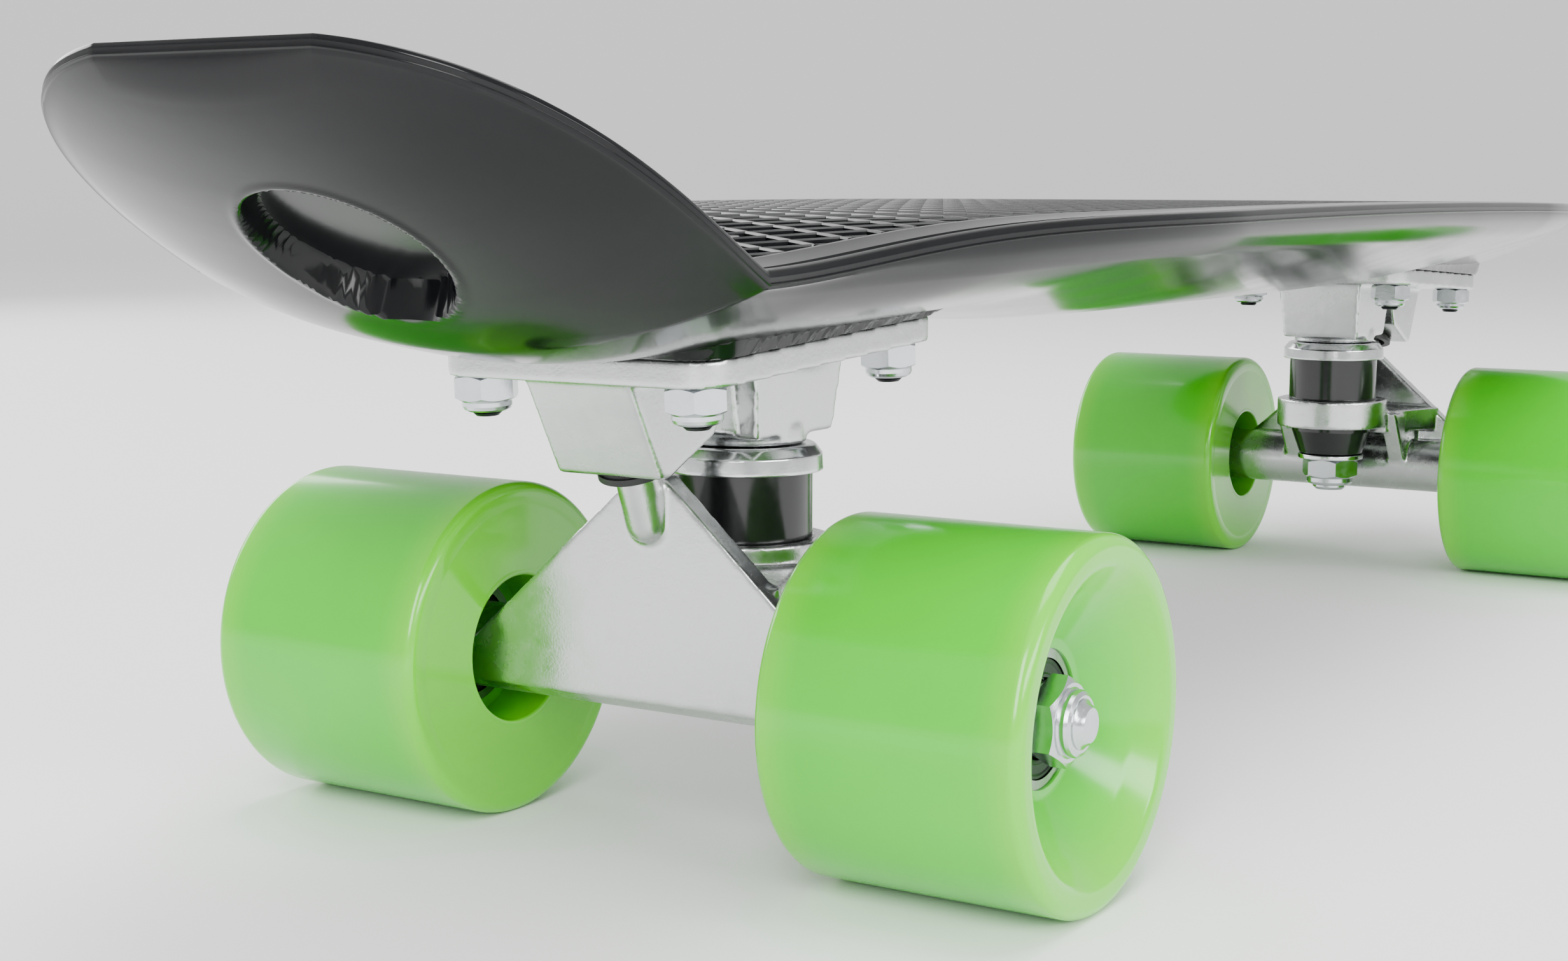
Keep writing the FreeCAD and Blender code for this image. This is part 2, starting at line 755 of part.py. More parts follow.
def make_kingpin_stack(end):
    """The washers, the two bushings and the lock nut on the kingpin, from the top down."""
    bore = d.kingpin_radius + d.sliding_gap
    inside = d.block_bottom - d.washer_thickness
    rim = d.cup_washer_radius
    washer = turned(end + "_cup_washer", [
        (bore, d.block_bottom), (rim - 1.2, d.block_bottom), (rim, d.block_bottom - 1.2),
        (rim, d.cup_washer_rim), (rim - 1.3, d.cup_washer_rim), (rim - 1.3, inside),
        (bore, inside)])
    bind_to_truck(washer, end, d.kingpin_place)

    seat = d.ring_top - d.seat_depth
    barrel = turned(end + "_barrel_bushing", [
        (bore, inside), (d.barrel_radius, inside), (d.barrel_radius, seat), (bore, seat)])
    bind_to_truck(barrel, end, d.kingpin_place)

    cone = turned(end + "_cone_bushing", [
        (bore, d.ring_bottom + d.seat_depth), (d.cone_top_radius, d.ring_bottom + d.seat_depth),
        (d.cone_top_radius, d.ring_bottom - 1.5), (d.cone_end_radius, d.cone_end),
        (bore, d.cone_end)])
    bind_to_truck(cone, end, d.kingpin_place)

    low = d.cone_end - d.washer_thickness
    road_washer = turned(end + "_road_washer", tube_profile(bore, d.road_washer_radius, low,
                                                            d.cone_end))
    bind_to_truck(road_washer, end, d.kingpin_place)

    nut = new_body(end + "_kingpin_nut")
    flats = new_sketch(nut, "XY_Plane", low)
    hexagon(flats, d.king_nut_flats)
    circle(flats, (0, 0), d.kingpin_radius)
    pad(nut, flats, d.king_nut_hex_height, reverse=True)
    collar = new_sketch(nut, "XY_Plane", low - d.king_nut_hex_height)
    circle(collar, (0, 0), d.king_nut_collar_radius)
    circle(collar, (0, 0), d.kingpin_radius)
    pad(nut, collar, d.king_nut_collar_height, reverse=True)
    bind_to_truck(nut, end, d.kingpin_place)


def make_hanger(end):
    """The cast hanger: a triangular plate, the axle boss, the bushing ring and its arms."""
    body = new_body(end + "_hanger")
    face = new_sketch(body, "YZ_Plane", 0 - d.face_back)
    half, low = d.hanger_half_width, d.face_bottom
    shoulder = d.face_apex - half / d.face_spread
    top = d.face_spread * (d.face_apex - d.face_top)
    polygon(face, [(half, low), (half, shoulder), (top, d.face_top), (-top, d.face_top),
                   (-half, shoulder), (-half, low)])
    pad(body, face, d.face_thickness)

    boss = new_sketch(body, "XZ_Plane")
    circle(boss, (0, d.axle_height), d.boss_radius)
    pad(body, boss, d.hanger_half_width * 2, both=True)

    # two arms: a block and a gusset under it, with room cut out between them for the cone
    arm = new_sketch(body, "XY_Plane", d.ring_bottom - d.arm_drop)
    polygon(arm, [(-d.arm_back, -d.arm_back_half_width), (d.arm_front, -d.arm_front_half_width),
                  (d.arm_front, d.arm_front_half_width), (-d.arm_back, d.arm_back_half_width)])
    pad(body, arm, d.arm_height)
    gusset = new_sketch(body, "XZ_Plane")
    polygon(gusset, [(-d.gusset_back, d.gusset_top), (d.gusset_front, d.gusset_front_top),
                     (d.gusset_knee, d.gusset_knee_height), (d.gusset_foot, d.gusset_foot_height),
                     (-d.gusset_back, d.gusset_foot_height)])
    pad(body, gusset, d.gusset_half_width * 2, both=True)
    room = new_sketch(body, "XZ_Plane")
    polygon(room, [(-d.room_back, d.room_bottom), (-d.room_back, d.room_top),
                   (d.room_front, d.room_top), (d.room_front, d.room_bottom)])
    pocket(body, room, d.room_half_width * 2, both=True)
    # the room also cut the axle boss, which runs on across it
    boss_again = new_sketch(body, "XZ_Plane")
    circle(boss_again, (0, d.axle_height), d.boss_radius)
    pad(body, boss_again, (d.room_half_width + 1) * 2, both=True)

    ring = new_sketch(body, "XY_Plane", d.ring_bottom)
    circle(ring, (d.kingpin_place, 0), d.ring_radius)
    pad(body, ring, d.ring_top - d.ring_bottom)
    stem = tilted_sketch(body, 0 - d.ball_back, d.ball_height, -DIMENSIONS["pivot_lean"])
    circle(stem, (0, 0), d.ball_radius - 0.1)
    pad(body, stem, d.stem_length, reverse=True)
    lean = math.radians(DIMENSIONS["pivot_lean"])
    add_ball(body, 0 - d.ball_back, d.ball_height, d.ball_radius)
    add_ball(body, d.stem_length * math.sin(lean) - d.ball_back,
             d.ball_height - d.stem_length * math.cos(lean), d.ball_radius - 0.1)

    hole = new_sketch(body, "XY_Plane", d.ring_bottom - 4)
    circle(hole, (d.kingpin_place, 0), d.ring_hole)
    pocket(body, hole, 20, reverse=True)
    upper_seat = new_sketch(body, "XY_Plane", d.ring_top - d.seat_depth)
    circle(upper_seat, (d.kingpin_place, 0), d.barrel_radius + 0.2)
    pocket(body, upper_seat, 5, reverse=True)
    lower_seat = new_sketch(body, "XY_Plane", d.ring_bottom + d.seat_depth)
    circle(lower_seat, (d.kingpin_place, 0), d.cone_top_radius + 0.4)
    pocket(body, lower_seat, 8)
    axle_hole = new_sketch(body, "XZ_Plane")
    circle(axle_hole, (0, d.axle_height), d.axle_radius + 0.01)
    pocket(body, axle_hole, d.hanger_half_width * 2 + 10, both=True)
    turn_with_truck(body, end)
    return bind_to_truck(body, end)


def make_axle(end):
    chamfer = 0.9
    reach, radius = d.axle_half_length, d.axle_radius
    body = turned(end + "_axle", [
        (0, -reach), (radius - chamfer, -reach), (radius, chamfer - reach),
        (radius, reach - chamfer), (radius - chamfer, reach), (0, reach)])
    turn_with_truck(body, end, ALONG_LEFT)
    return bind_to_truck(body, end, 0, d.axle_height)


def wheel_turn(side):
    """Turns a wheel's own +Z, which points outboard, to the left or the right."""
    return ALONG_LEFT if side == "left" else ALONG_RIGHT


def wheel_places(end, offsets):
    """Places of a piece at outboard distances from the board's middle line, on both sides."""
    x = -DIMENSIONS["rear_axle"] if end == "rear" else DIMENSIONS["front_axle"]
    return [shift(x, sign * offset.value, DIMENSIONS["axle_height"], wheel_turn(side))
            for side, sign in (("left", 1), ("right", -1)) for offset in offsets]


def axle_stack():
    """Outboard distances of the pieces clamped on an axle, from the hanger outwards."""
    inner_washer = d.hanger_half_width
    inner_bearing = inner_washer + d.axle_washer_thickness
    spacer = inner_bearing + d.bearing_width
    outer_bearing = spacer + d.spacer_length
    outer_washer = outer_bearing + d.bearing_width
    nut = outer_washer + d.axle_washer_thickness
    return inner_washer, inner_bearing, spacer, outer_bearing, outer_washer, nut


def make_axle_masters():
    """One of each small piece that is copied onto the axles, drawn from its inboard face."""
    bore = d.bearing_bore
    middle = d.bearing_width / 2
    ring = turned("inner_ring_master", tube_profile(bore, d.inner_ring_radius, 0,
                                                    d.bearing_width))
    cut_race(ring, middle)
    outer = turned("outer_ring_master", tube_profile(d.bearing_land, d.bearing_radius, 0,
                                                     d.bearing_width))
    cut_race(outer, middle)
    shield = turned("shield_master", tube_profile(6.55, d.bearing_land - 0.02, 0, 0.4))
    washer = turned("axle_washer_master", tube_profile(bore + 0.1, d.axle_washer_radius, 0,
                                                       d.axle_washer_thickness))
    spacer = turned("spacer_master", tube_profile(bore + 0.15, d.spacer_radius, 0,
                                                  d.spacer_length))
    ball = turned_ball()
    cage = make_cage()
    nut = lock_nut("axle_nut_master", d.axle_nut_flats, d.axle_nut_height, d.axle_radius)
    insert = nut_insert("axle_insert_master", d.axle_nut_height, d.axle_radius)
    return {"ring": ring, "outer": outer, "shield": shield, "washer": washer, "spacer": spacer,
            "ball": ball, "cage": cage, "nut": nut, "insert": insert}


def cut_race(body, middle):
    """Cuts the ball groove round a bearing ring."""
    doc.recompute()
    before = body.Shape.Volume
    sketch = new_sketch(body, "XZ_Plane")
    circle(sketch, (d.ball_pitch, middle), d.race_ball_radius + d.race_gap)
    groove = body.newObject("PartDesign::Groove", body.Name + "_race")
    groove.Profile = sketch
    groove.ReferenceAxis = (sketch, ["V_Axis"])
    groove.Angle = 360
    doc.recompute()
    if body.Shape.Volume > before - 0.5:
        raise ValueError("no race cut in %s" % body.Label)


def turned_ball():
    ball = doc.addObject("Part::Sphere", "ball_master")
    ball.setExpression("Radius", d.race_ball_radius.text)
    return ball


def ball_places():
    """Places of one bearing's balls, in the bearing's own frame."""
    turns = [2 * math.pi * index / BALLS_PER_BEARING for index in range(BALLS_PER_BEARING)]
    pitch = DIMENSIONS["ball_pitch"]
    middle = DIMENSIONS["bearing_width"] / 2
    return [shift(pitch * math.cos(turn), pitch * math.sin(turn), middle) for turn in turns]


def make_cage():
    """A ball cage: a thin ring at the pitch circle with a round hole for each ball."""
    cage = turned("cage_master", tube_profile(d.ball_pitch - 0.5, d.ball_pitch + 0.5,
                                              d.bearing_width / 2 - 2.35,
                                              d.bearing_width / 2 + 2.35))
    doc.recompute()
    # each pocket is a round hole, drilled from the ring's axis through the ball's centre
    pockets = [Part.makeCylinder(DIMENSIONS["race_ball_radius"] + 0.1, DIMENSIONS["ball_pitch"],
                                 place.Base * 0.5 + FreeCAD.Vector(0, 0, place.Base.z / 2),
                                 FreeCAD.Vector(place.Base.x, place.Base.y, 0))
               for place in ball_places()]
    item = doc.addObject("Part::Feature", "cage_cut")
    item.Shape = cage.Shape.cut(Part.Compound(pockets))
    return item


def lock_nut(label, flats, height, bore):
    """A hex lock nut: the hexagon and a round collar that holds a nylon ring."""
    body = new_body(label)
    hex_height = height * d.nut_hex_share
    base = new_sketch(body, "XY_Plane")
    hexagon(base, flats)
    circle(base, (0, 0), bore)
    pad(body, base, hex_height)
    collar = new_sketch(body, "XY_Plane", hex_height)
    circle(collar, (0, 0), flats * d.nut_collar_share)
    circle(collar, (0, 0), flats * d.insert_share)
    pad(body, collar, height - hex_height)
    return body


def nut_insert(label, height, bore):
    """The nylon ring inside a lock nut's collar."""
    flats = d.axle_nut_flats if bore is d.axle_radius else d.bolt_nut_flats
    low = height * d.nut_hex_share
    return turned(label, tube_profile(bore, flats * d.insert_share, low, height - 0.3))


def make_axle_groups(end, masters):
    """The pieces clamped on one axle, each kind as one node."""
    inner_washer, inner_bearing, spacer, outer_bearing, outer_washer, nut = axle_stack()
    group(end + "_axle_washers", [(masters["washer"],
                                   wheel_places(end, [inner_washer, outer_washer]))])
    group(end + "_bearing_inner_rings", [(masters["ring"],
                                          wheel_places(end, [inner_bearing, outer_bearing]))])
    group(end + "_bearing_spacers", [(masters["spacer"], wheel_places(end, [spacer]))])
    group(end + "_axle_nuts", [(masters["nut"], wheel_places(end, [nut]))])
    group(end + "_axle_nut_inserts", [(masters["insert"], wheel_places(end, [nut]))])


def make_truck(end, masters):
    make_baseplate(end)
    make_pivot_cup(end)
    make_kingpin(end)
    make_kingpin_stack(end)
    make_hanger(end)
    make_axle(end)
    make_axle_groups(end, masters)


# ---------------------------------------------------------------- wheels

def make_wheel(end, side, masters):
    """A urethane tyre with its two bearings. The wheel's own +Z points outboard."""
    name = end + "_" + side
    edge, core = d.wheel_half_width, d.wheel_core_radius
    seat_in = d.spacer_length / 2
    seat_out = seat_in + d.bearing_width
    bowl = edge - d.wheel_bowl_depth
    body = turned(name + "_tyre", [
        (core, -edge), (d.wheel_radius, -edge), (d.wheel_radius, edge),
        (d.wheel_crest_radius, edge), (d.wheel_bowl_radius, bowl),
        (core - 0.3, seat_out + 0.5), (core - 0.3, seat_out), (d.bearing_radius, seat_out),
        (d.bearing_radius, seat_in), (d.bearing_land, seat_in), (d.bearing_land, -seat_in),
        (d.bearing_radius, -seat_in), (d.bearing_radius, -seat_out), (core, -seat_out)])
    tread = DIMENSIONS["wheel_radius"]
    for height, radius in ((DIMENSIONS["wheel_half_width"], d.wheel_outer_round),
                           (-DIMENSIONS["wheel_half_width"], d.wheel_inner_round)):
        round_edges(body, body.Tip or body.Group[-1],
                    lambda item: hasattr(item.Curve, "Radius")
                    and abs(item.Curve.Radius - tread) < 0.01
                    and abs(item.CenterOfMass.z - height) < 0.01, radius)
        doc.recompute()
    direction = 1 if side == "left" else -1
    x = -DIMENSIONS["rear_axle"] if end == "rear" else DIMENSIONS["front_axle"]
    body.Placement = shift(x, direction * DIMENSIONS["wheel_track"], DIMENSIONS["axle_height"],
                           wheel_turn(side))
    axle = -d.rear_axle if end == "rear" else d.front_axle * 1
    body.setExpression("Placement.Base.x", axle.text)
    body.setExpression("Placement.Base.y", (direction * d.wheel_track).text)
    body.setExpression("Placement.Base.z", d.axle_height.text)
    keep(body)

    bearings = [place for place in wheel_places(end, axle_stack()[1:4:2])
                if place.Base.y * direction > 0]
    group(name + "_bearing_outer_rings", [(masters["outer"], bearings)])
    width = DIMENSIONS["bearing_width"]
    shield_heights = (0.25, width - 0.65)
    shields = [place.multiply(shift(0, 0, height)) for place in bearings
               for height in shield_heights]
    group(name + "_bearing_shields", [(masters["shield"], shields)])
    balls = [place.multiply(ball) for place in bearings for ball in ball_places()]
    group(name + "_bearing_balls", [(masters["ball"], balls)])
    group(name + "_bearing_cages", [(masters["cage"], bearings)])


# ---------------------------------------------------------------- deck bolts

def bolt_places():
    """Places of the deck bolts: on each baseplate's underside, pointing up square to it."""
    places = []
    for end in ("rear", "front"):
        for along in (-DIMENSIONS["bolt_outer"], DIMENSIONS["bolt_inner"]):
            for side in (DIMENSIONS["bolt_side"], -DIMENSIONS["bolt_side"]):
                height = plate_underside(Size.of(along)).value
                lean = FreeCAD.Rotation(FreeCAD.Vector(0, 1, 0), -plate_lean())
                places.append(truck_place(end).multiply(shift(along, side, height, lean)))
    return places


def make_bolts():
    """Eight countersunk bolts with lock nuts and their nylon rings."""
    below = d.bolt_nut_height + d.bolt_tip
    top = bolt_top()
    bolt = turned("bolt_master", [
        (0, -below), (d.bolt_radius - 0.5, -below), (d.bolt_radius, 0.5 - below),
        (d.bolt_radius, top - d.bolt_head_height), (d.bolt_head_radius, top - 0.4),
        (d.bolt_head_radius, top), (0, top)])
    nut = lock_nut("bolt_nut_master", d.bolt_nut_flats, d.bolt_nut_height, d.bolt_radius)
    insert = nut_insert("bolt_insert_master", d.bolt_nut_height, d.bolt_radius)
    places = bolt_places()
    over = FreeCAD.Placement(FreeCAD.Vector(), FreeCAD.Rotation(FreeCAD.Vector(1, 0, 0), 180))
    group("deck_bolts", [(bolt, places)])
    group("deck_bolt_nuts", [(nut, [place.multiply(over) for place in places])])
    group("deck_bolt_nut_inserts", [(insert, [place.multiply(over) for place in places])])


# ---------------------------------------------------------------- whole board

def check_and_export():
    doc.recompute()
    for item in doc.Objects:
        if "Invalid" in item.State or "Error" in item.State:
            raise ValueError("%s did not build" % item.Label)
    for item in nodes:
        if item.Shape.isNull() or not item.Shape.isValid():
            raise ValueError("%s has no valid shape" % item.Label)
    os.makedirs("parts", exist_ok=True)
    for item in nodes:
        item.Shape.exportStep("parts/%s.step" % item.Label)
        print("%-34s %2d solids %10.1f mm3" % (item.Label, len(item.Shape.Solids),
                                               item.Shape.Volume))


make_deck()
masters = make_axle_masters()
for end in ("rear", "front"):
    make_truck(end, masters)
    for side in ("left", "right"):
        make_wheel(end, side, masters)
make_bolts()
check_and_export()
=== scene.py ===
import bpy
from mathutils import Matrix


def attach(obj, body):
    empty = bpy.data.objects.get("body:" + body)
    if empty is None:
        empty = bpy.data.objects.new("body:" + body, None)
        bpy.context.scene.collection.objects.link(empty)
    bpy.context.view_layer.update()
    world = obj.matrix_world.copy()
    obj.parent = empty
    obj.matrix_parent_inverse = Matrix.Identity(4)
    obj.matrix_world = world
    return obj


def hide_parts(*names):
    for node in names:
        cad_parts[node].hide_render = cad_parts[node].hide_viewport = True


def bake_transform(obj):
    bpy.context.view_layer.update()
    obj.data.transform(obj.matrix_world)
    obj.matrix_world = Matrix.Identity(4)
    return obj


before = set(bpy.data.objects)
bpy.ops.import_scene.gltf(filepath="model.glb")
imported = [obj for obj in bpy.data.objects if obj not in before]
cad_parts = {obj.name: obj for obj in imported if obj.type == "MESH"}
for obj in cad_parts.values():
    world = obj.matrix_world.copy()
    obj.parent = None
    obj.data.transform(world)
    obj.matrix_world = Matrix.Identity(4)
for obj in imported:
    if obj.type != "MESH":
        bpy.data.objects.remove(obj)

"""The looks of a small plastic cruiser skateboard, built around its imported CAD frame.

Sizes inside the classes are in millimetres. The frame's +X points to the nose, +Y to the rider's
left and +Z up, with the origin on the ground below the middle of the board.
"""

import logging
import math
from dataclasses import dataclass, field
from enum import Enum
from typing import Callable, Iterable, Optional, Sequence

import bmesh
import bpy
import numpy as np
from mathutils import Matrix, Vector

MM = 0.001
LOG = logging.getLogger("skateboard")
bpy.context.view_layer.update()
Point = tuple[float, float]
Faces = list[tuple[int, ...]]


class End(Enum):
    """The two ends of the board, each with a truck."""

    REAR = "rear"
    FRONT = "front"

    @property
    def to_middle(self) -> int:
        """The direction along X from this end to the middle of the board."""
        return 1 if self is End.REAR else -1


class Side(Enum):
    """The two sides of the board. The value is the side's direction along Y."""

    LEFT = 1
    RIGHT = -1


class Axis(Enum):
    """The frame's axes, as the index of a vector's entry."""

    X = 0
    Y = 1
    Z = 2


# ------------------------------------------------------------------ colour and shader nodes

def linear(colour: str) -> tuple[float, float, float, float]:
    """Turns an sRGB hex colour into Blender's linear one.

    Args:
        colour: six hex digits with a leading hash.

    Returns:
        Red, green, blue and an alpha of 1.
    """
    parts = [int(colour[place:place + 2], 16) / 255 for place in (1, 3, 5)]
    red, green, blue = [part / 12.92 if part <= 0.04045 else ((part + 0.055) / 1.055) ** 2.4
                        for part in parts]
    return red, green, blue, 1.0


def add_node(tree: bpy.types.NodeTree, kind: str, settings: Optional[dict] = None,
             links: Optional[dict] = None) -> bpy.types.Node:
    """Adds one node to a tree.

    Args:
        tree: the tree it goes into.
        kind: the node's Blender type name.
        settings: values by name, for the node's own properties or else for its inputs.
        links: output sockets by the name or number of the input that each one feeds.

    Returns:
        The new node.
    """
    node = tree.nodes.new(kind)
    for name, value in (settings or {}).items():
        if isinstance(name, str) and hasattr(node, name):
            setattr(node, name, value)
        else:
            node.inputs[name].default_value = value
    for name, socket in (links or {}).items():
        tree.links.new(socket, node.inputs[name])
    return node


def new_material(name: str) -> tuple[bpy.types.Material, bpy.types.NodeTree, bpy.types.Node]:
    """Starts a material with an output and a texture coordinate node.

    Args:
        name: the material's name.

    Returns:
        The material, its node tree and its coordinate node.
    """
    material = bpy.data.materials.new(name)
    material.use_nodes = True
    tree = material.node_tree
    tree.nodes.clear()
    return material, tree, add_node(tree, "ShaderNodeTexCoord")


def finish_material(tree: bpy.types.NodeTree, shader: bpy.types.Node) -> None:
    """Joins a shader to a new output node of its tree."""
    add_node(tree, "ShaderNodeOutputMaterial", links={"Surface": shader.outputs[0]})


def per_metre(millimetres: float) -> float:
    """The scale of a noise whose features are this many millimetres across."""
    return 1 / (millimetres * MM)


class Finish:
    """A surface finish that is made into a Blender material once."""

    made: dict[str, bpy.types.Material] = {}

    def material(self) -> bpy.types.Material:
        """The finish's material, built on the first call."""
        name = type(self).__name__
        if name not in Finish.made:
            Finish.made[name] = self.build(name)
        return Finish.made[name]

    def build(self, name: str) -> bpy.types.Material:
        """Builds the material under a name. Each finish has its own."""
        raise NotImplementedError


@dataclass(frozen=True)
class InjectionMouldedPolypropylene(Finish):
    """Polypropylene moulded against a polished tool: deep black with a wet gloss.

    The slow waves are shrinkage behind the ribs, and bend long highlights. The fine grain is
    the dust and handling haze that takes the mirror edge off them.
    """

    colour: str = "#08090a"
    worn_colour: str = "#0f1012"
    sink_mm: float = 38.0
    grain_mm: float = 0.9
    roughness: tuple[float, float] = (0.09, 0.2)

    def build(self, name: str) -> bpy.types.Material:
        """Builds the material.

        Args:
            name: the material's name.

        Returns:
            The material.
        """
        material, tree, place = new_material(name)
        haze = add_node(tree, "ShaderNodeTexNoise", {"Scale": per_metre(14), "Detail": 5.0},
                        {"Vector": place.outputs["Object"]})
        tint = add_node(tree, "ShaderNodeMix", {"data_type": "RGBA", 6: linear(self.colour),
                                                7: linear(self.worn_colour)},
                        {0: haze.outputs["Fac"]})
        rough = add_node(tree, "ShaderNodeMapRange", {3: self.roughness[0], 4: self.roughness[1]},
                         {0: haze.outputs["Fac"]})
        sink = add_node(tree, "ShaderNodeTexNoise", {"Scale": per_metre(self.sink_mm),
                                                     "Detail": 1.0},
                        {"Vector": place.outputs["Object"]})
        grain = add_node(tree, "ShaderNodeTexNoise", {"Scale": per_metre(self.grain_mm),
                                                      "Detail": 2.0},
                         {"Vector": place.outputs["Object"]})
        waves = add_node(tree, "ShaderNodeBump", {"Strength": 0.35, "Distance": 0.0004},
                         {"Height": sink.outputs["Fac"]})
        bump = add_node(tree, "ShaderNodeBump", {"Strength": 0.06, "Distance": 0.00005},
                        {"Height": grain.outputs["Fac"], "Normal": waves.outputs["Normal"]})
        shader = add_node(tree, "ShaderNodeBsdfPrincipled",
                          {"IOR": 1.32},
                          {"Base Color": tint.outputs[2], "Roughness": rough.outputs[0],
                           "Normal": bump.outputs["Normal"]})
        finish_material(tree, shader)
        return material


@dataclass(frozen=True)
class CastUrethane(Finish):
    """Lime urethane poured into a polished mould and faced on a lathe.

    Light runs a few millimetres into it, so the thin rims glow yellower than the thick tread: a
    glow painted into the colour.
    """

    body_colour: str = "#3cc20a"
    # painted glow: the yellower colour mixed in towards the wheel's rims, standing in for light
    # that shines through the thin urethane
    painted_glow_colour: str = "#6fd01c"
    half_width_mm: float = 22.5
    track_mm: float = 56.2
    cloud_mm: float = 9.0
    grain_mm: float = 0.6

    def build(self, name: str) -> bpy.types.Material:
        """Builds the material.

        Args:
            name: the material's name.

        Returns:
            The material.
        """
        material, tree, place = new_material(name)
        split = add_node(tree, "ShaderNodeSeparateXYZ", links={0: place.outputs["Object"]})
        across = add_node(tree, "ShaderNodeMath", {"operation": "ABSOLUTE"},
                          {0: split.outputs[Axis.Y.value]})
        middle = add_node(tree, "ShaderNodeMath",
                          {"operation": "SUBTRACT", 1: self.track_mm * MM},
                          {0: across.outputs[0]})
        away = add_node(tree, "ShaderNodeMath", {"operation": "ABSOLUTE"},
                        {0: middle.outputs[0]})
        # painted glow: the share of the yellower colour, rising towards each rim of the wheel
        rim = add_node(tree, "ShaderNodeMapRange",
                       {1: 0.62 * self.half_width_mm * MM, 2: self.half_width_mm * MM,
                        3: 0.0, 4: 0.7, "interpolation_type": "SMOOTHSTEP"},
                       {0: away.outputs[0]})
        cloud = add_node(tree, "ShaderNodeTexNoise", {"Scale": per_metre(self.cloud_mm),
                                                      "Detail": 3.0},
                         {"Vector": place.outputs["Object"]})
        tint = add_node(tree, "ShaderNodeMix",
                        {"data_type": "RGBA", 6: linear(self.body_colour),
                         7: linear(self.painted_glow_colour)}, {0: rim.outputs[0]})
        mottle = add_node(tree, "ShaderNodeHueSaturation", {"Saturation": 1.0},
                          {"Color": tint.outputs[2]})
        value = add_node(tree, "ShaderNodeMapRange", {3: 0.96, 4: 1.04},
                         {0: cloud.outputs["Fac"]})
        tree.links.new(value.outputs[0], mottle.inputs["Value"])
        rough = add_node(tree, "ShaderNodeMapRange", {3: 0.13, 4: 0.24},
                         {0: cloud.outputs["Fac"]})
        grain = add_node(tree, "ShaderNodeTexNoise", {"Scale": per_metre(self.grain_mm),
                                                      "Detail": 2.0},
                         {"Vector": place.outputs["Object"]})
        bump = add_node(tree, "ShaderNodeBump", {"Strength": 0.05, "Distance": 0.00004},
                        {"Height": grain.outputs["Fac"]})
        shader = add_node(tree, "ShaderNodeBsdfPrincipled",
                          {"IOR": 1.5, "Subsurface Weight": 0.35, "Subsurface Scale": 0.003,
                           "Subsurface Radius": (0.55, 1.0, 0.2), "Coat Weight": 0.2,
                           "Coat Roughness": 0.08},
                          {"Base Color": mottle.outputs[0], "Roughness": rough.outputs[0],
                           "Normal": bump.outputs["Normal"]})
        finish_material(tree, shader)
        return material


@dataclass(frozen=True)
class BlackUrethane(Finish):
    """Hard black urethane, cast in a polished mould: a tight mirror-like highlight."""

    colour: str = "#0b0b0c"
    roughness: float = 0.16
    dust_mm: float = 1.3

    def build(self, name: str) -> bpy.types.Material:
        """Builds the material.

        Args:
            name: the material's name.

        Returns:
            The material.
        """
        material, tree, place = new_material(name)
        dust = add_node(tree, "ShaderNodeTexNoise", {"Scale": per_metre(self.dust_mm),
                                                     "Detail": 4.0},
                        {"Vector": place.outputs["Object"]})
        tint = add_node(tree, "ShaderNodeMix", {"data_type": "RGBA", 6: linear(self.colour),
                                                7: linear("#1d1d1f")},
                        {0: dust.outputs["Fac"]})
        rough = add_node(tree, "ShaderNodeMapRange", {3: self.roughness - 0.04,
                                                      4: self.roughness + 0.06},
                         {0: dust.outputs["Fac"]})
        bump = add_node(tree, "ShaderNodeBump", {"Strength": 0.05, "Distance": 0.00005},
                        {"Height": dust.outputs["Fac"]})
        shader = add_node(tree, "ShaderNodeBsdfPrincipled", {"IOR": 1.5},
                          {"Base Color": tint.outputs[2], "Roughness": rough.outputs[0],
                           "Normal": bump.outputs["Normal"]})
        finish_material(tree, shader)
        return material


@dataclass(frozen=True)
class MouldedRubber(BlackUrethane):
    """Black natural rubber, compression moulded: softer and duller than urethane."""

    colour: str = "#101011"
    roughness: float = 0.5
    dust_mm: float = 0.7


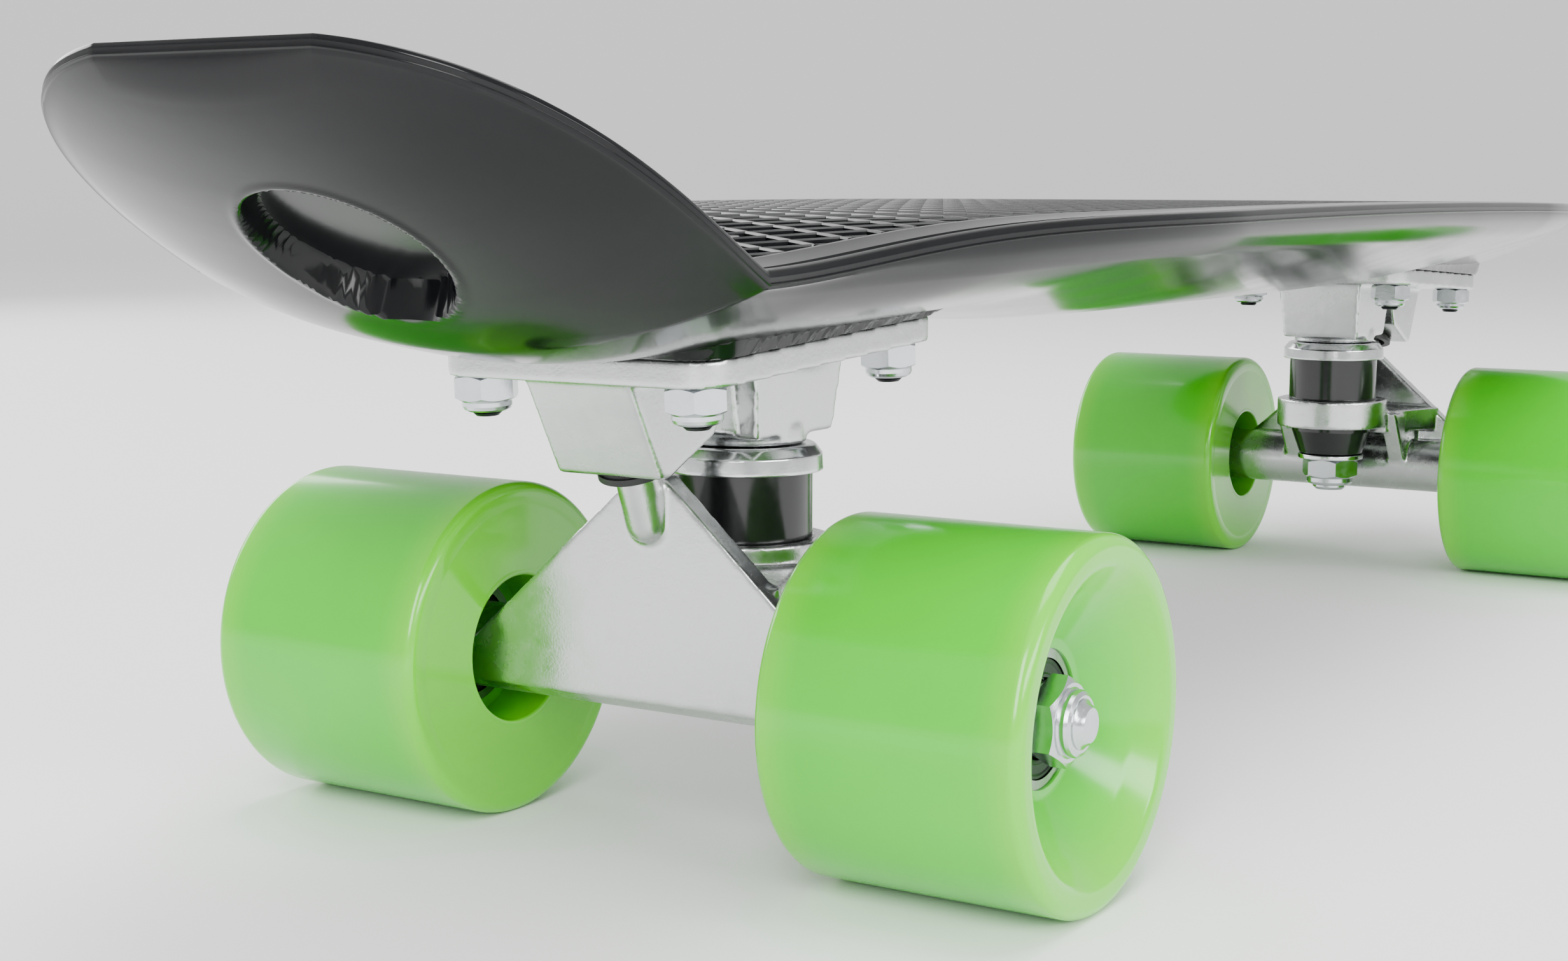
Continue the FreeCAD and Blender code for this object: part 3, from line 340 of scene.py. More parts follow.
@dataclass(frozen=True)
class Metal(Finish):
    """A bare or plated metal, told apart by its tint, its grain and how it was worked.

    The patches vary the gloss as handling does. The grain is the peened or rolled surface, and
    the scuffs are the short bright and dull strokes that tumbling leaves.
    """

    colour: str = "#d4d5d7"
    shade_colour: str = "#b9bbbe"
    roughness: tuple[float, float] = (0.18, 0.34)
    patch_mm: float = 7.0
    grain_mm: float = 0.45
    grain_strength: float = 0.12
    scuff_mm: float = 1.6
    scuff_strength: float = 0.1

    def build(self, name: str) -> bpy.types.Material:
        """Builds the material.

        Args:
            name: the material's name.

        Returns:
            The material.
        """
        material, tree, place = new_material(name)
        patch = add_node(tree, "ShaderNodeTexNoise", {"Scale": per_metre(self.patch_mm),
                                                      "Detail": 5.0, "Roughness": 0.62},
                         {"Vector": place.outputs["Object"]})
        tint = add_node(tree, "ShaderNodeMix", {"data_type": "RGBA",
                                                6: linear(self.shade_colour),
                                                7: linear(self.colour)},
                        {0: patch.outputs["Fac"]})
        rough = add_node(tree, "ShaderNodeMapRange", {1: 0.3, 2: 0.7, 3: self.roughness[0],
                                                      4: self.roughness[1]},
                         {0: patch.outputs["Fac"]})
        grain = add_node(tree, "ShaderNodeTexNoise", {"Scale": per_metre(self.grain_mm),
                                                      "Detail": 3.0},
                         {"Vector": place.outputs["Object"]})
        stretch = add_node(tree, "ShaderNodeMapping", {"Scale": (1.0, 0.25, 0.6),
                                                       "Rotation": (0.4, 0.3, 0.5)},
                           {"Vector": place.outputs["Object"]})
        scuff = add_node(tree, "ShaderNodeTexNoise", {"Scale": per_metre(self.scuff_mm),
                                                      "Detail": 6.0, "Roughness": 0.75},
                         {"Vector": stretch.outputs[0]})
        peened = add_node(tree, "ShaderNodeBump", {"Strength": self.grain_strength,
                                                   "Distance": 0.0001},
                          {"Height": grain.outputs["Fac"]})
        bump = add_node(tree, "ShaderNodeBump", {"Strength": self.scuff_strength,
                                                 "Distance": 0.0002},
                        {"Height": scuff.outputs["Fac"], "Normal": peened.outputs["Normal"]})
        shader = add_node(tree, "ShaderNodeBsdfPrincipled", {"Metallic": 1.0},
                          {"Base Color": tint.outputs[2], "Roughness": rough.outputs[0],
                           "Normal": bump.outputs["Normal"]})
        finish_material(tree, shader)
        return material


@dataclass(frozen=True)
class TumbledDieCasting(Metal):
    """A die casting tumbled bright in ceramic chips: satin faces and burnished edges."""

    colour: str = "#dcdddd"
    shade_colour: str = "#b4b6b7"
    roughness: tuple[float, float] = (0.16, 0.34)
    patch_mm: float = 6.0
    grain_mm: float = 0.5
    grain_strength: float = 0.2
    scuff_mm: float = 1.4
    scuff_strength: float = 0.22


@dataclass(frozen=True)
class BrightZincPlate(Metal):
    """Bright zinc on machined steel: a cool, liquid shine with faint tool rings under it."""

    colour: str = "#dcdfe2"
    shade_colour: str = "#b4b9be"
    roughness: tuple[float, float] = (0.12, 0.26)
    patch_mm: float = 2.6
    grain_mm: float = 0.3
    grain_strength: float = 0.08
    scuff_mm: float = 0.8
    scuff_strength: float = 0.14


@dataclass(frozen=True)
class PressedBrightSteel(Metal):
    """Plated sheet pressed in a die: near-mirror faces with drawn streaks at the bends."""

    colour: str = "#e6e7e8"
    shade_colour: str = "#c6c8ca"
    roughness: tuple[float, float] = (0.1, 0.2)
    patch_mm: float = 3.5
    grain_mm: float = 0.35
    grain_strength: float = 0.05
    scuff_mm: float = 1.0
    scuff_strength: float = 0.1


@dataclass(frozen=True)
class GroundBearingSteel(Metal):
    """Hardened chrome steel, ground and honed: dark, sharp reflections."""

    colour: str = "#a9abae"
    shade_colour: str = "#87898c"
    roughness: tuple[float, float] = (0.08, 0.16)
    patch_mm: float = 1.5
    grain_mm: float = 0.2
    grain_strength: float = 0.03
    scuff_mm: float = 0.5
    scuff_strength: float = 0.05


@dataclass(frozen=True)
class StampedBrass(Metal):
    """Sheet brass stamped into a ball cage: warm and satin."""

    colour: str = "#c9a45c"
    shade_colour: str = "#a8833f"
    roughness: tuple[float, float] = (0.25, 0.4)
    patch_mm: float = 1.5
    grain_mm: float = 0.2


@dataclass(frozen=True)
class BlackOxideSteel(Metal):
    """Steel blackened in hot salts and oiled: near black with a thin metallic sheen."""

    colour: str = "#3a3b3e"
    shade_colour: str = "#232427"
    roughness: tuple[float, float] = (0.25, 0.42)
    patch_mm: float = 2.0
    grain_mm: float = 0.25
    grain_strength: float = 0.1


@dataclass(frozen=True)
class NaturalNylon(Finish):
    """Unfilled nylon, moulded: milky and slightly see-through."""

    colour: str = "#dfe3de"
    cloud_mm: float = 1.2

    def build(self, name: str) -> bpy.types.Material:
        """Builds the material.

        Args:
            name: the material's name.

        Returns:
            The material.
        """
        material, tree, place = new_material(name)
        cloud = add_node(tree, "ShaderNodeTexNoise", {"Scale": per_metre(self.cloud_mm)},
                         {"Vector": place.outputs["Object"]})
        tint = add_node(tree, "ShaderNodeMix", {"data_type": "RGBA", 6: linear(self.colour),
                                                7: linear("#c9cec8")},
                        {0: cloud.outputs["Fac"]})
        rough = add_node(tree, "ShaderNodeMapRange", {3: 0.3, 4: 0.42},
                         {0: cloud.outputs["Fac"]})
        shader = add_node(tree, "ShaderNodeBsdfPrincipled",
                          {"IOR": 1.53, "Subsurface Weight": 0.3, "Subsurface Scale": 0.001},
                          {"Base Color": tint.outputs[2], "Roughness": rough.outputs[0]})
        finish_material(tree, shader)
        return material


@dataclass(frozen=True)
class MattePaper(Finish):
    """A roll of pale studio paper: matte, with a barely visible tooth."""

    colour: str = "#fafafa"
    tooth_mm: float = 1.5

    def build(self, name: str) -> bpy.types.Material:
        """Builds the material.

        Args:
            name: the material's name.

        Returns:
            The material.
        """
        material, tree, place = new_material(name)
        tooth = add_node(tree, "ShaderNodeTexNoise", {"Scale": per_metre(self.tooth_mm)},
                         {"Vector": place.outputs["Object"]})
        bump = add_node(tree, "ShaderNodeBump", {"Strength": 0.04, "Distance": 0.0001},
                        {"Height": tooth.outputs["Fac"]})
        shader = add_node(tree, "ShaderNodeBsdfPrincipled",
                          {"Base Color": linear(self.colour), "Roughness": 0.75,
                           "Specular IOR Level": 0.2}, {"Normal": bump.outputs["Normal"]})
        finish_material(tree, shader)
        return material


# ------------------------------------------------------------------ mesh helpers

def mesh_piece(name: str, points: Iterable, faces: Iterable, finish: Finish,
               place: Matrix = Matrix.Identity(4), sharp_degrees: float = 40.0
               ) -> bpy.types.Object:
    """Makes a mesh object from points in millimetres.

    Args:
        name: the object's name.
        points: the points, in millimetres.
        faces: tuples of point numbers.
        finish: the finish that the whole piece has.
        place: a placement in millimetres that is put into the points.
        sharp_degrees: edges that turn more than this stay sharp.

    Returns:
        The object, at the origin.
    """
    mesh = bpy.data.meshes.new(name)
    rows = np.array([tuple(point) for point in points], float)
    turn = np.array(place)
    rows = (rows @ turn[:3, :3].T + turn[:3, 3]) * MM
    mesh.from_pydata(rows.tolist(), [], [tuple(face) for face in faces])
    if place.determinant() < 0:
        mesh.flip_normals()
    mesh.update()
    item = bpy.data.objects.new(name, mesh)
    bpy.context.scene.collection.objects.link(item)
    mesh.materials.append(finish.material())
    tidy_mesh(item, sharp_degrees)
    return item


def tidy_mesh(item: bpy.types.Object, sharp_degrees: float) -> None:
    """Merges doubled points, turns faces outwards and shades the mesh smooth.

    Args:
        item: the object whose mesh is tidied.
        sharp_degrees: edges that turn more than this stay sharp.
    """
    work = bmesh.new()
    work.from_mesh(item.data)
    bmesh.ops.remove_doubles(work, verts=work.verts, dist=1e-7)
    bmesh.ops.dissolve_degenerate(work, edges=work.edges, dist=1e-7)
    bmesh.ops.recalc_face_normals(work, faces=work.faces)
    limit = math.radians(sharp_degrees)
    for face in work.faces:
        face.smooth = True
    for edge in work.edges:
        edge.smooth = not edge.is_manifold or edge.calc_face_angle(0.0) < limit
    work.to_mesh(item.data)
    work.free()


def rounded(profile: Sequence[tuple[float, float, float]], steps: int = 6) -> list[Point]:
    """Rounds the corners of an open outline.

    Args:
        profile: corners as (across, along, radius).
        steps: the number of points on each rounded corner, less one.

    Returns:
        The outline's points.
    """
    points: list[Point] = []
    for index, (across, along, radius) in enumerate(profile):
        if radius <= 0 or index in (0, len(profile) - 1):
            points.append((across, along))
            continue
        corner = Vector((across, along))
        back = Vector(profile[index - 1][:2]) - corner
        ahead = Vector(profile[index + 1][:2]) - corner
        half = back.angle(ahead) / 2
        reach = min(radius / math.tan(half), back.length * 0.49, ahead.length * 0.49)
        radius = reach * math.tan(half)
        start = corner + back.normalized() * reach
        stop = corner + ahead.normalized() * reach
        centre = corner + (back.normalized() + ahead.normalized()).normalized() * (
            radius / math.sin(half))
        first, last = start - centre, stop - centre
        sweep = first.angle_signed(last)
        for step in range(steps + 1):
            turn = Matrix.Rotation(-sweep * step / steps, 2)
            spot = centre + turn @ first
            points.append((spot.x, spot.y))
    return points


def lathe(name: str, outline: Sequence[Point], finish: Finish, place: Matrix,
          closed: bool = True, segments: int = 96, sharp_degrees: float = 40.0
          ) -> bpy.types.Object:
    """Turns an outline about +Z.

    Args:
        name: the object's name.
        outline: (radius, height) points. A radius of 0 closes the shape on its axis.
        finish: the finish of the piece.
        place: where the piece's own +Z stands, in millimetres.
        closed: whether the last point joins the first.
        segments: the number of steps round the axis.
        sharp_degrees: edges that turn more than this stay sharp.

    Returns:
        The turned object.
    """
    return mesh_piece(name, turned(outline, segments),
                      strip_faces(len(outline), segments, wrap=True, closed=closed), finish,
                      place, sharp_degrees)


def turned(outline: Sequence[Point], segments: int) -> list[tuple[float, float, float]]:
    """The points of an outline that is turned about +Z, ring after ring.

    Args:
        outline: (radius, height) points.
        segments: the number of points in each ring.

    Returns:
        The points as (x, y, z).
    """
    turns = [2 * math.pi * step / segments for step in range(segments)]
    return [(radius * math.cos(turn), radius * math.sin(turn), height)
            for radius, height in outline for turn in turns]


def strip_faces(rows: int, columns: int, wrap: bool = False, closed: bool = False) -> Faces:
    """Faces of a grid of points that is stored row after row.

    Args:
        rows: the number of rows.
        columns: the number of points in each row.
        wrap: whether each row's last point joins its first.
        closed: whether the last row joins the first.

    Returns:
        Four point numbers for each face.
    """
    faces: Faces = []
    for row in range(rows if closed else rows - 1):
        below = (row + 1) % rows
        for column in range(columns if wrap else columns - 1):
            after = (column + 1) % columns
            faces.append((row * columns + column, below * columns + column,
                          below * columns + after, row * columns + after))
    return faces


def shifted(faces: Iterable[tuple[int, ...]], first: int) -> Faces:
    """The same faces for points that are stored from a later number on."""
    return [tuple(first + number for number in face) for face in faces]


def hex_radius(turn: float, flats: float) -> float:
    """The distance from a hexagon's middle to its side, at a turn from a corner."""
    return flats / 2 / math.cos((turn + math.pi / 6) % (math.pi / 3) - math.pi / 6)


@dataclass(frozen=True)
class LockNut:
    """A hex nut with chamfered corners and a round collar that grips a nylon ring."""

    flats: float
    hex_height: float
    collar_height: float
    collar_radius: float
    bore: float
    segments: int = 96

    def build(self, name: str, places: Sequence[Matrix], finish: Finish) -> bpy.types.Object:
        """Makes one object with a nut at each place.

        Args:
            name: the object's name.
            places: placements in millimetres. Each nut stands on its own +Z.
            finish: the finish of the nuts.

        Returns:
            The object.
        """
        points: list[Vector] = []
        faces: Faces = []
        rings = self.rings()
        for place in places:
            faces += shifted(strip_faces(len(rings), self.segments, wrap=True), len(points))
            for radius_at, height_at in rings:
                for step in range(self.segments):
                    turn = 2 * math.pi * step / self.segments
                    radius = radius_at(turn)
                    points.append(place @ Vector((radius * math.cos(turn),
                                                  radius * math.sin(turn), height_at(turn))))
        return mesh_piece(name, points, faces, finish, sharp_degrees=24)

    def rings(self) -> list[tuple[Callable[[float], float], Callable[[float], float]]]:
        """The radius and height, by turn, of each ring of points from the bore round.

        Returns:
            A pair of functions for each ring.
        """
        top, chamfer = self.hex_height, math.tan(math.radians(30))
        free = self.flats * 0.485

        def drop(turn: float) -> float:
            """How far the chamfer takes the hexagon's side down at a turn."""
            return max(0.0, hex_radius(turn, self.flats) - free) * chamfer

        def flat(value: float) -> Callable[[float], float]:
            """The same value at every turn."""
            return lambda turn: value

        def corner(turn: float) -> float:
            """The hexagon's radius."""
            return hex_radius(turn, self.flats)

        collar, full = self.collar_radius, top + self.collar_height
        return [(flat(self.bore), flat(0.5)), (flat(self.bore + 0.5), flat(0.0)),
                (flat(free), flat(0.0)), (corner, drop),
                (corner, lambda turn: top - drop(turn)), (flat(free), flat(top)),
                (flat(collar + 0.25), flat(top)), (flat(collar), flat(top + 0.3)),
                (flat(collar), flat(full - 0.9)), (flat(collar - 0.25), flat(full - 0.35)),
                (flat(collar - 0.85), flat(full)), (flat(collar - 1.35), flat(full - 0.05)),
                (flat(collar - 1.6), flat(full - 0.35)), (flat(self.bore), flat(full - 0.6))]


# ------------------------------------------------------------------ deck

@dataclass
class Deck:
    """The moulded deck: a shell with an edge bead, a waffle of ribs and bosses for the bolts."""

    half_length: float = 279.25
    half_width: float = 76.0
    tail_half_width: float = 53.4
    flare_start: float = 110.0
    flare_run: float = 122.0
    tail_run: float = 47.25
    tail_power: float = 2.6
    tail_flat: float = 1.35
    nose_run: float = 184.6
    nose_power: float = 1.6
    nose_flat: float = 3.0
    crest_middle: float = 106.65
    crest_drop: float = 4.4
    dip_depth: float = 5.0
    dip_spread: float = 41.3
    kick_root: float = 229.0
    kick_slope: float = 0.545
    tail_spine: float = 250.0
    nose_spine: float = 215.0
    bead_height: float = 4.6
    bead_fade: float = 3.0
    bead_fade_from: float = -170.0
    bead_fade_to: float = -220.0
    side_inset: float = 0.25
    side_drop: float = 1.75
    side_share: float = 0.93
    side_roundness: float = 2.2
    strip_inset: float = 4.2
    strip_run: float = 4.0
    rim_inset: float = 9.0
    rim_rise: float = 1.0
    rim_crown: float = 1.05
    rib_pitch: float = 8.0
    rib_slope: float = 1.6
    rib_thickness: float = 1.05
    cell_depth: float = 9.0
    kick_cell_depth: float = 4.4
    floor_wall: float = 2.2
    dish_radius: float = 15.0
    dish_depth: float = 5.0
    dish_from_root: float = 24.0
    dish_wall: float = 12.1
    dish_lean_degrees: float = 31.8
    plate_outer: float = 30.3
    plate_inner: float = 42.7
    plate_half_width: float = 27.3
    plate_outer_height: float = 80.1
    plate_inner_height: float = 84.2
    plate_thickness: float = 4.5
    plate_sunk: float = 0.8
    pad_margin: float = 0.6
    pad_corner: float = 7.0
    pad_edge: float = 0.9
    keel_middle: float = 84.0
    axles: dict[End, float] = field(default_factory=lambda: {End.REAR: -174.0, End.FRONT: 181.5})
    bolt_rows: tuple[float, float] = (-24.4, 35.0)
    bolt_side: float = 20.65
    bolt_top: float = 22.1
    boss_radius: float = 7.4
    finish: Finish = field(default_factory=InjectionMouldedPolypropylene)

    def width_at(self, x: np.ndarray) -> np.ndarray:
        """Half the deck's width at places along it.

        Args:
            x: the places along X.

        Returns:
            Half the width at each place.
        """
        flare = smooth_step(x, -self.flare_start, -self.flare_start - self.flare_run)
        tail = np.clip((self.tail_run - self.half_length - x) / (self.tail_run + self.tail_flat),
                       0, 1)
        nose = np.clip((x - self.half_length + self.nose_run) / (self.nose_run + self.nose_flat),
                       0, 1)
        rounding = (1 - tail ** self.tail_power) ** (1 / self.tail_power)
        narrow = self.half_width - (self.half_width - self.tail_half_width) * flare
        return np.where(x < 0, narrow * rounding,
                        self.half_width * (1 - nose ** self.nose_power) ** (1 / self.nose_power))

    def crest_at(self, x: np.ndarray) -> np.ndarray:
        """Height of the deck's outer edge at places along it.

        Args:
            x: the places along X.

        Returns:
            The height at each place.
        """
        from_root = x + self.kick_root
        height = (self.crest_middle - self.crest_drop * (x / self.half_length) ** 2
                  - self.dip_depth * np.exp(-(from_root / self.dip_spread) ** 2))
        return height + np.where(from_root < 0, -self.kick_slope * from_root, 0)

    def rim_at(self, x: np.ndarray) -> np.ndarray:
        """Height of the ribbed area's rim, and of the tops of the ribs."""
        return self.crest_at(x) + self.rim_rise + self.rim_crown * (x / self.half_length) ** 2

    def inset_scale(self, x: np.ndarray) -> np.ndarray:
        """How much of its full width the edge has: less at the narrow tip of the nose."""
        return np.where(x < 0, 1.0, np.clip(self.width_at(x) / 30, 0.4, 1.0))

    def plate_line(self, end: End) -> tuple[float, float]:
        """The height of a baseplate's top over its axle, and its slope along +X.

        Args:
            end: the end of the board that the plate is at.

        Returns:
            The height and the slope.
        """
        rise = (self.plate_inner_height - self.plate_outer_height) / (
            self.plate_inner + self.plate_outer)
        over_axle = self.plate_outer_height + rise * self.plate_outer + self.plate_thickness
        return over_axle, rise * end.to_middle

    def keel_at(self, x: np.ndarray) -> np.ndarray:
        """Height of the deck's lowest line, smoothed between its stations.

        Args:
            x: the places along X.

        Returns:
            The height at each place.
        """
        tip = self.half_length
        over, rise = self.plate_line(End.REAR)
        over -= self.plate_sunk
        low, high = over - rise * self.plate_outer, over + rise * self.plate_inner
        rear, front = self.axles[End.REAR], self.axles[End.FRONT]
        inner = [(4 - self.kick_root, 85.2), (rear - self.plate_outer - 8, low - 8 * rise),
                 (rear - self.plate_outer, low),
                 (rear + self.plate_inner, high), (-112, 86.6), (-84, 84.5),
                 (-50, self.keel_middle), (50, self.keel_middle), (88, 84.5), (116, 86.2),
                 (front - self.plate_inner, high), (front - 5, over + 5 * rise),
                 (front + self.plate_outer, low)]
        tail_walls = [(-tip, 4.6), (1.2 - tip, 5.6), (4.5 - tip, 7.6), (10 - tip, 9.6),
                      (19 - tip, 11.6), (34 - tip, 12.6), (44 - tip, 13.6),
                      (-self.kick_root, 12.2)]
        nose_walls = [(tip - 50, 14.6), (tip - 34, 11.4), (tip - 20, 9.2), (tip - 10, 8.0),
                      (tip - 4, 7.2), (tip - 1.2, 6.8), (tip, 6.2)]
        tail, nose = ([(place, float(self.crest_at(np.array(place))) - wall)
                       for place, wall in walls] for walls in (tail_walls, nose_walls))
        places, heights = zip(*tail, *inner, *nose)
        spread = np.clip((tip - np.abs(x)) / 3, 0, 7)
        steps = np.linspace(-1, 1, 9)
        return np.mean([np.interp(x + spread * step, places, heights) for step in steps], axis=0)

    def underside(self, x: np.ndarray, y: np.ndarray) -> np.ndarray:
        """Height of the underside: a round arc, the trucks' pads and the dish under the kick.

        Args:
            x: the points' X.
            y: the points' Y.

        Returns:
            The height at each point.
        """
        fade = self.bead_fade * smooth_step(x, self.bead_fade_from, self.bead_fade_to)
        half, keel = self.width_at(x), self.keel_at(x)
        low = self.crest_at(x) - self.bead_height + fade
        sink = low - keel
        radius = (half ** 2 + sink ** 2) / (2 * sink)
        height = keel + radius - np.sqrt(np.maximum(radius ** 2 - y ** 2, 1e-6))
        for end in End:
            over, rise = self.plate_line(end)
            middle = (self.plate_inner - self.plate_outer) / 2 * end.to_middle
            half_pad = (self.plate_inner + self.plate_outer) / 2 + self.pad_margin
            along = np.abs(x - self.axles[end] - middle) - half_pad
            across = np.abs(y) - self.plate_half_width - self.pad_margin
            corner = self.pad_corner
            outside = np.hypot(np.maximum(along + corner, 0), np.maximum(across + corner, 0))
            outside += np.minimum(np.maximum(along, across) + corner, 0) - corner
            share = smooth_step(outside, self.pad_edge, 0.0)
            height += share * (over + rise * (x - self.axles[end]) - height)
        return height

    def outline(self) -> np.ndarray:
        """The deck's outline seen from above, anticlockwise, closer together where it turns.

        Returns:
            The outline's points, as rows of x and y.
        """
        tip = self.half_length
        # (start, stop, step): short steps at the tips, at the kick and at the pads' ends
        spans = [(-tip, -tip + 2, 0.2), (-tip + 2, -tip + 12, 0.5), (-tip + 12, -236.0, 0.8),
                 (-236.0, -206.5, 1.25), (-206.5, -202.5, 0.4), (-202.5, -133.0, 1.6),
                 (-133.0, -129.0, 0.4), (-129.0, 136.5, 2.0), (136.5, 140.5, 0.4),
                 (140.5, 210.0, 1.6), (210.0, 214.0, 0.4), (214.0, tip - 10, 1.25),
                 (tip - 10, tip, 0.4)]
        places = [np.linspace(start, stop, max(2, round((stop - start) / step)), endpoint=False)
                  for start, stop, step in spans]
        x = np.unique(np.round(np.concatenate([*places, [tip, -self.kick_root]]), 4))
        half = self.width_at(x)
        tail = [(-tip, y) for y in np.arange(0.0, half[0], 0.8)]
        nose = [(tip, y) for y in np.arange(half[-1], 0.0, -0.8)[1:]] + [(tip, 0.0)]
        left = np.array(tail + list(zip(x, half)) + nose)
        right = left[-2:0:-1] * np.array([1, -1])
        return np.concatenate([left, right])[::-1]

    @staticmethod
    def inward(outline: np.ndarray) -> np.ndarray:
        """Unit vectors that point inwards from an outline, eased round its corners.

        Args:
            outline: rows of x and y.

        Returns:
            A row for each of the outline's points.
        """
        ahead = np.roll(outline, -4, axis=0) - np.roll(outline, 4, axis=0)
        ahead /= np.linalg.norm(ahead, axis=1)[:, None]
        normal = np.stack([-ahead[:, 1], ahead[:, 0]], axis=1)
        for _ in range(6):
            normal = (np.roll(normal, 1, axis=0) + normal * 2 + np.roll(normal, -1, axis=0)) / 4
        return normal / np.linalg.norm(normal, axis=1)[:, None]

    def edge_outline(self) -> list[tuple[float, float, float]]:
        """The edge from its lowest corner to the ribbed area: inset, rise and corner radius.

        The widest point is the thin flash at the mould's parting line. Above it come the round
        bead, a shallow groove and a strip that rises to the rim.

        Returns:
            The corners, in order.
        """
        return [(self.side_inset, -self.side_drop, 0.6), (0.22, -1.3, 0.1), (0.0, -1.18, 0.05),
                (0.0, -1.02, 0.05), (0.28, -0.9, 0.1), (0.12, -0.1, 0.5), (0.5, 0.75, 0.6),
                (1.5, 1.0, 0.8), (2.5, 0.72, 0.5), (3.4, 0.3, 0.4), (4.0, 0.32, 0.15),
                (self.strip_inset, 0.85, 0.1)]

    def shell(self) -> bpy.types.Object:
        """The closed shell: underside, rounded sides, bead, strip, rim and the cells' floor.

        It is made of loops that run round the deck, first outwards from the spine along the
        underside, then up over the edge, and inwards again to the spine along the top.

        Returns:
            The shell.
        """
        outline = self.outline()
        inward = self.inward(outline)
        loops: list[np.ndarray] = []
        turn_up = self.side_share
        under = np.linspace(0, turn_up, 90).tolist() + [0.95, 0.965, 0.978, 0.988, 0.995, 1.0]
        edge = outline + inward * self.side_inset
        for part in under:
            spine = self.spine(edge)
            flat = spine + (edge - spine) * part
            z = self.underside(flat[:, 0], flat[:, 1])
            lift = max(part - turn_up, 0) / (1 - turn_up)
            side = self.crest_at(flat[:, 0]) - self.side_drop
            z = z + (side - z) * (1 - math.sqrt(max(1 - lift ** self.side_roundness, 0)))
            loops.append(np.column_stack([flat, z]))
        scale = self.inset_scale(outline[:, 0])[:, None]
        rim, level = self.rim_inset, self.rim_rise
        corners = rounded(self.edge_outline(), 3) + [
            (rim - 0.4, level - 0.1), (rim - 0.15, level - 0.02), (rim, level),
            (rim + 0.7, level), (rim + 0.9, level - 0.15)]
        for inset, up in corners:
            flat = outline + inward * inset * scale
            crown = self.rim_at(flat[:, 0]) - self.crest_at(flat[:, 0]) - self.rim_rise
            rise = up + crown * np.clip((inset - self.strip_inset) / self.strip_run, 0, 1)
            loops.append(np.column_stack([flat, self.crest_at(flat[:, 0]) + rise]))
        inner = outline + inward * (rim + 0.95) * scale
        for part in np.linspace(1, 0, 24):
            spine = self.spine(inner)
            flat = spine + (inner - spine) * part
            loops.append(np.column_stack([flat, self.cell_floor(flat[:, 0], flat[:, 1])]))
        grid = np.stack(loops)
        self.press_dish(grid[:len(under)])
        return mesh_piece("deck_shell", grid.reshape(-1, 3),
                          strip_faces(len(loops), len(outline), wrap=True), self.finish,
                          sharp_degrees=50)

    def spine(self, flat: np.ndarray) -> np.ndarray:
        """The nearest places on the deck's middle line, which stops short of the tips."""
        return np.stack([np.clip(flat[:, 0], -self.tail_spine, self.nose_spine),
                         np.zeros(len(flat))], axis=1)

    def cell_floor(self, x: np.ndarray, y: np.ndarray) -> np.ndarray:
        """Height of the floor of the waffle's cells.

        Args:
            x: the points' X.
            y: the points' Y.

        Returns:
            The height at each point.
        """
        on_kick = smooth_step(x, 2 - self.kick_root, -8 - self.kick_root)
        depth = self.cell_depth + (self.kick_cell_depth - self.cell_depth) * on_kick
        lowest = self.underside(x, y) + self.floor_wall
        return np.minimum(np.maximum(self.rim_at(x) - depth, lowest), self.rim_at(x) - 1.2)

    def press_dish(self, grid: np.ndarray) -> None:
        """Presses the round blind recess into the underside of the kick.

        Args:
            grid: the underside's points, changed in place.
        """
        lean = math.radians(self.dish_lean_degrees)
        up = np.array([math.sin(lean), 0.0, math.cos(lean)])
        across = np.array([math.cos(lean), 0.0, -math.sin(lean)])
        x = -self.kick_root - self.dish_from_root
        from_base = grid - np.array([x, 0.0, float(self.crest_at(np.array(x)))
                                     - self.dish_wall])
        level = from_base @ up
        reach = np.hypot(from_base @ across, from_base[..., 1])
        edge = 0.7
        wall = smooth_step(reach, self.dish_radius + edge, self.dish_radius - edge)
        # the mouth's lip stands a little proud, as the mould's ring leaves it
        lip_height, lip_gap, lip_width = 0.2, 1.3, 0.6
        lip = lip_height * np.exp(-((reach - self.dish_radius - lip_gap) / lip_width) ** 2)
        move = wall * (self.dish_depth - level) - lip * (wall < 0.02)
        near = (grid[..., 0] < x + 30) & (reach < self.dish_radius + 5)
        grid += np.where(near, move, 0)[..., None] * up

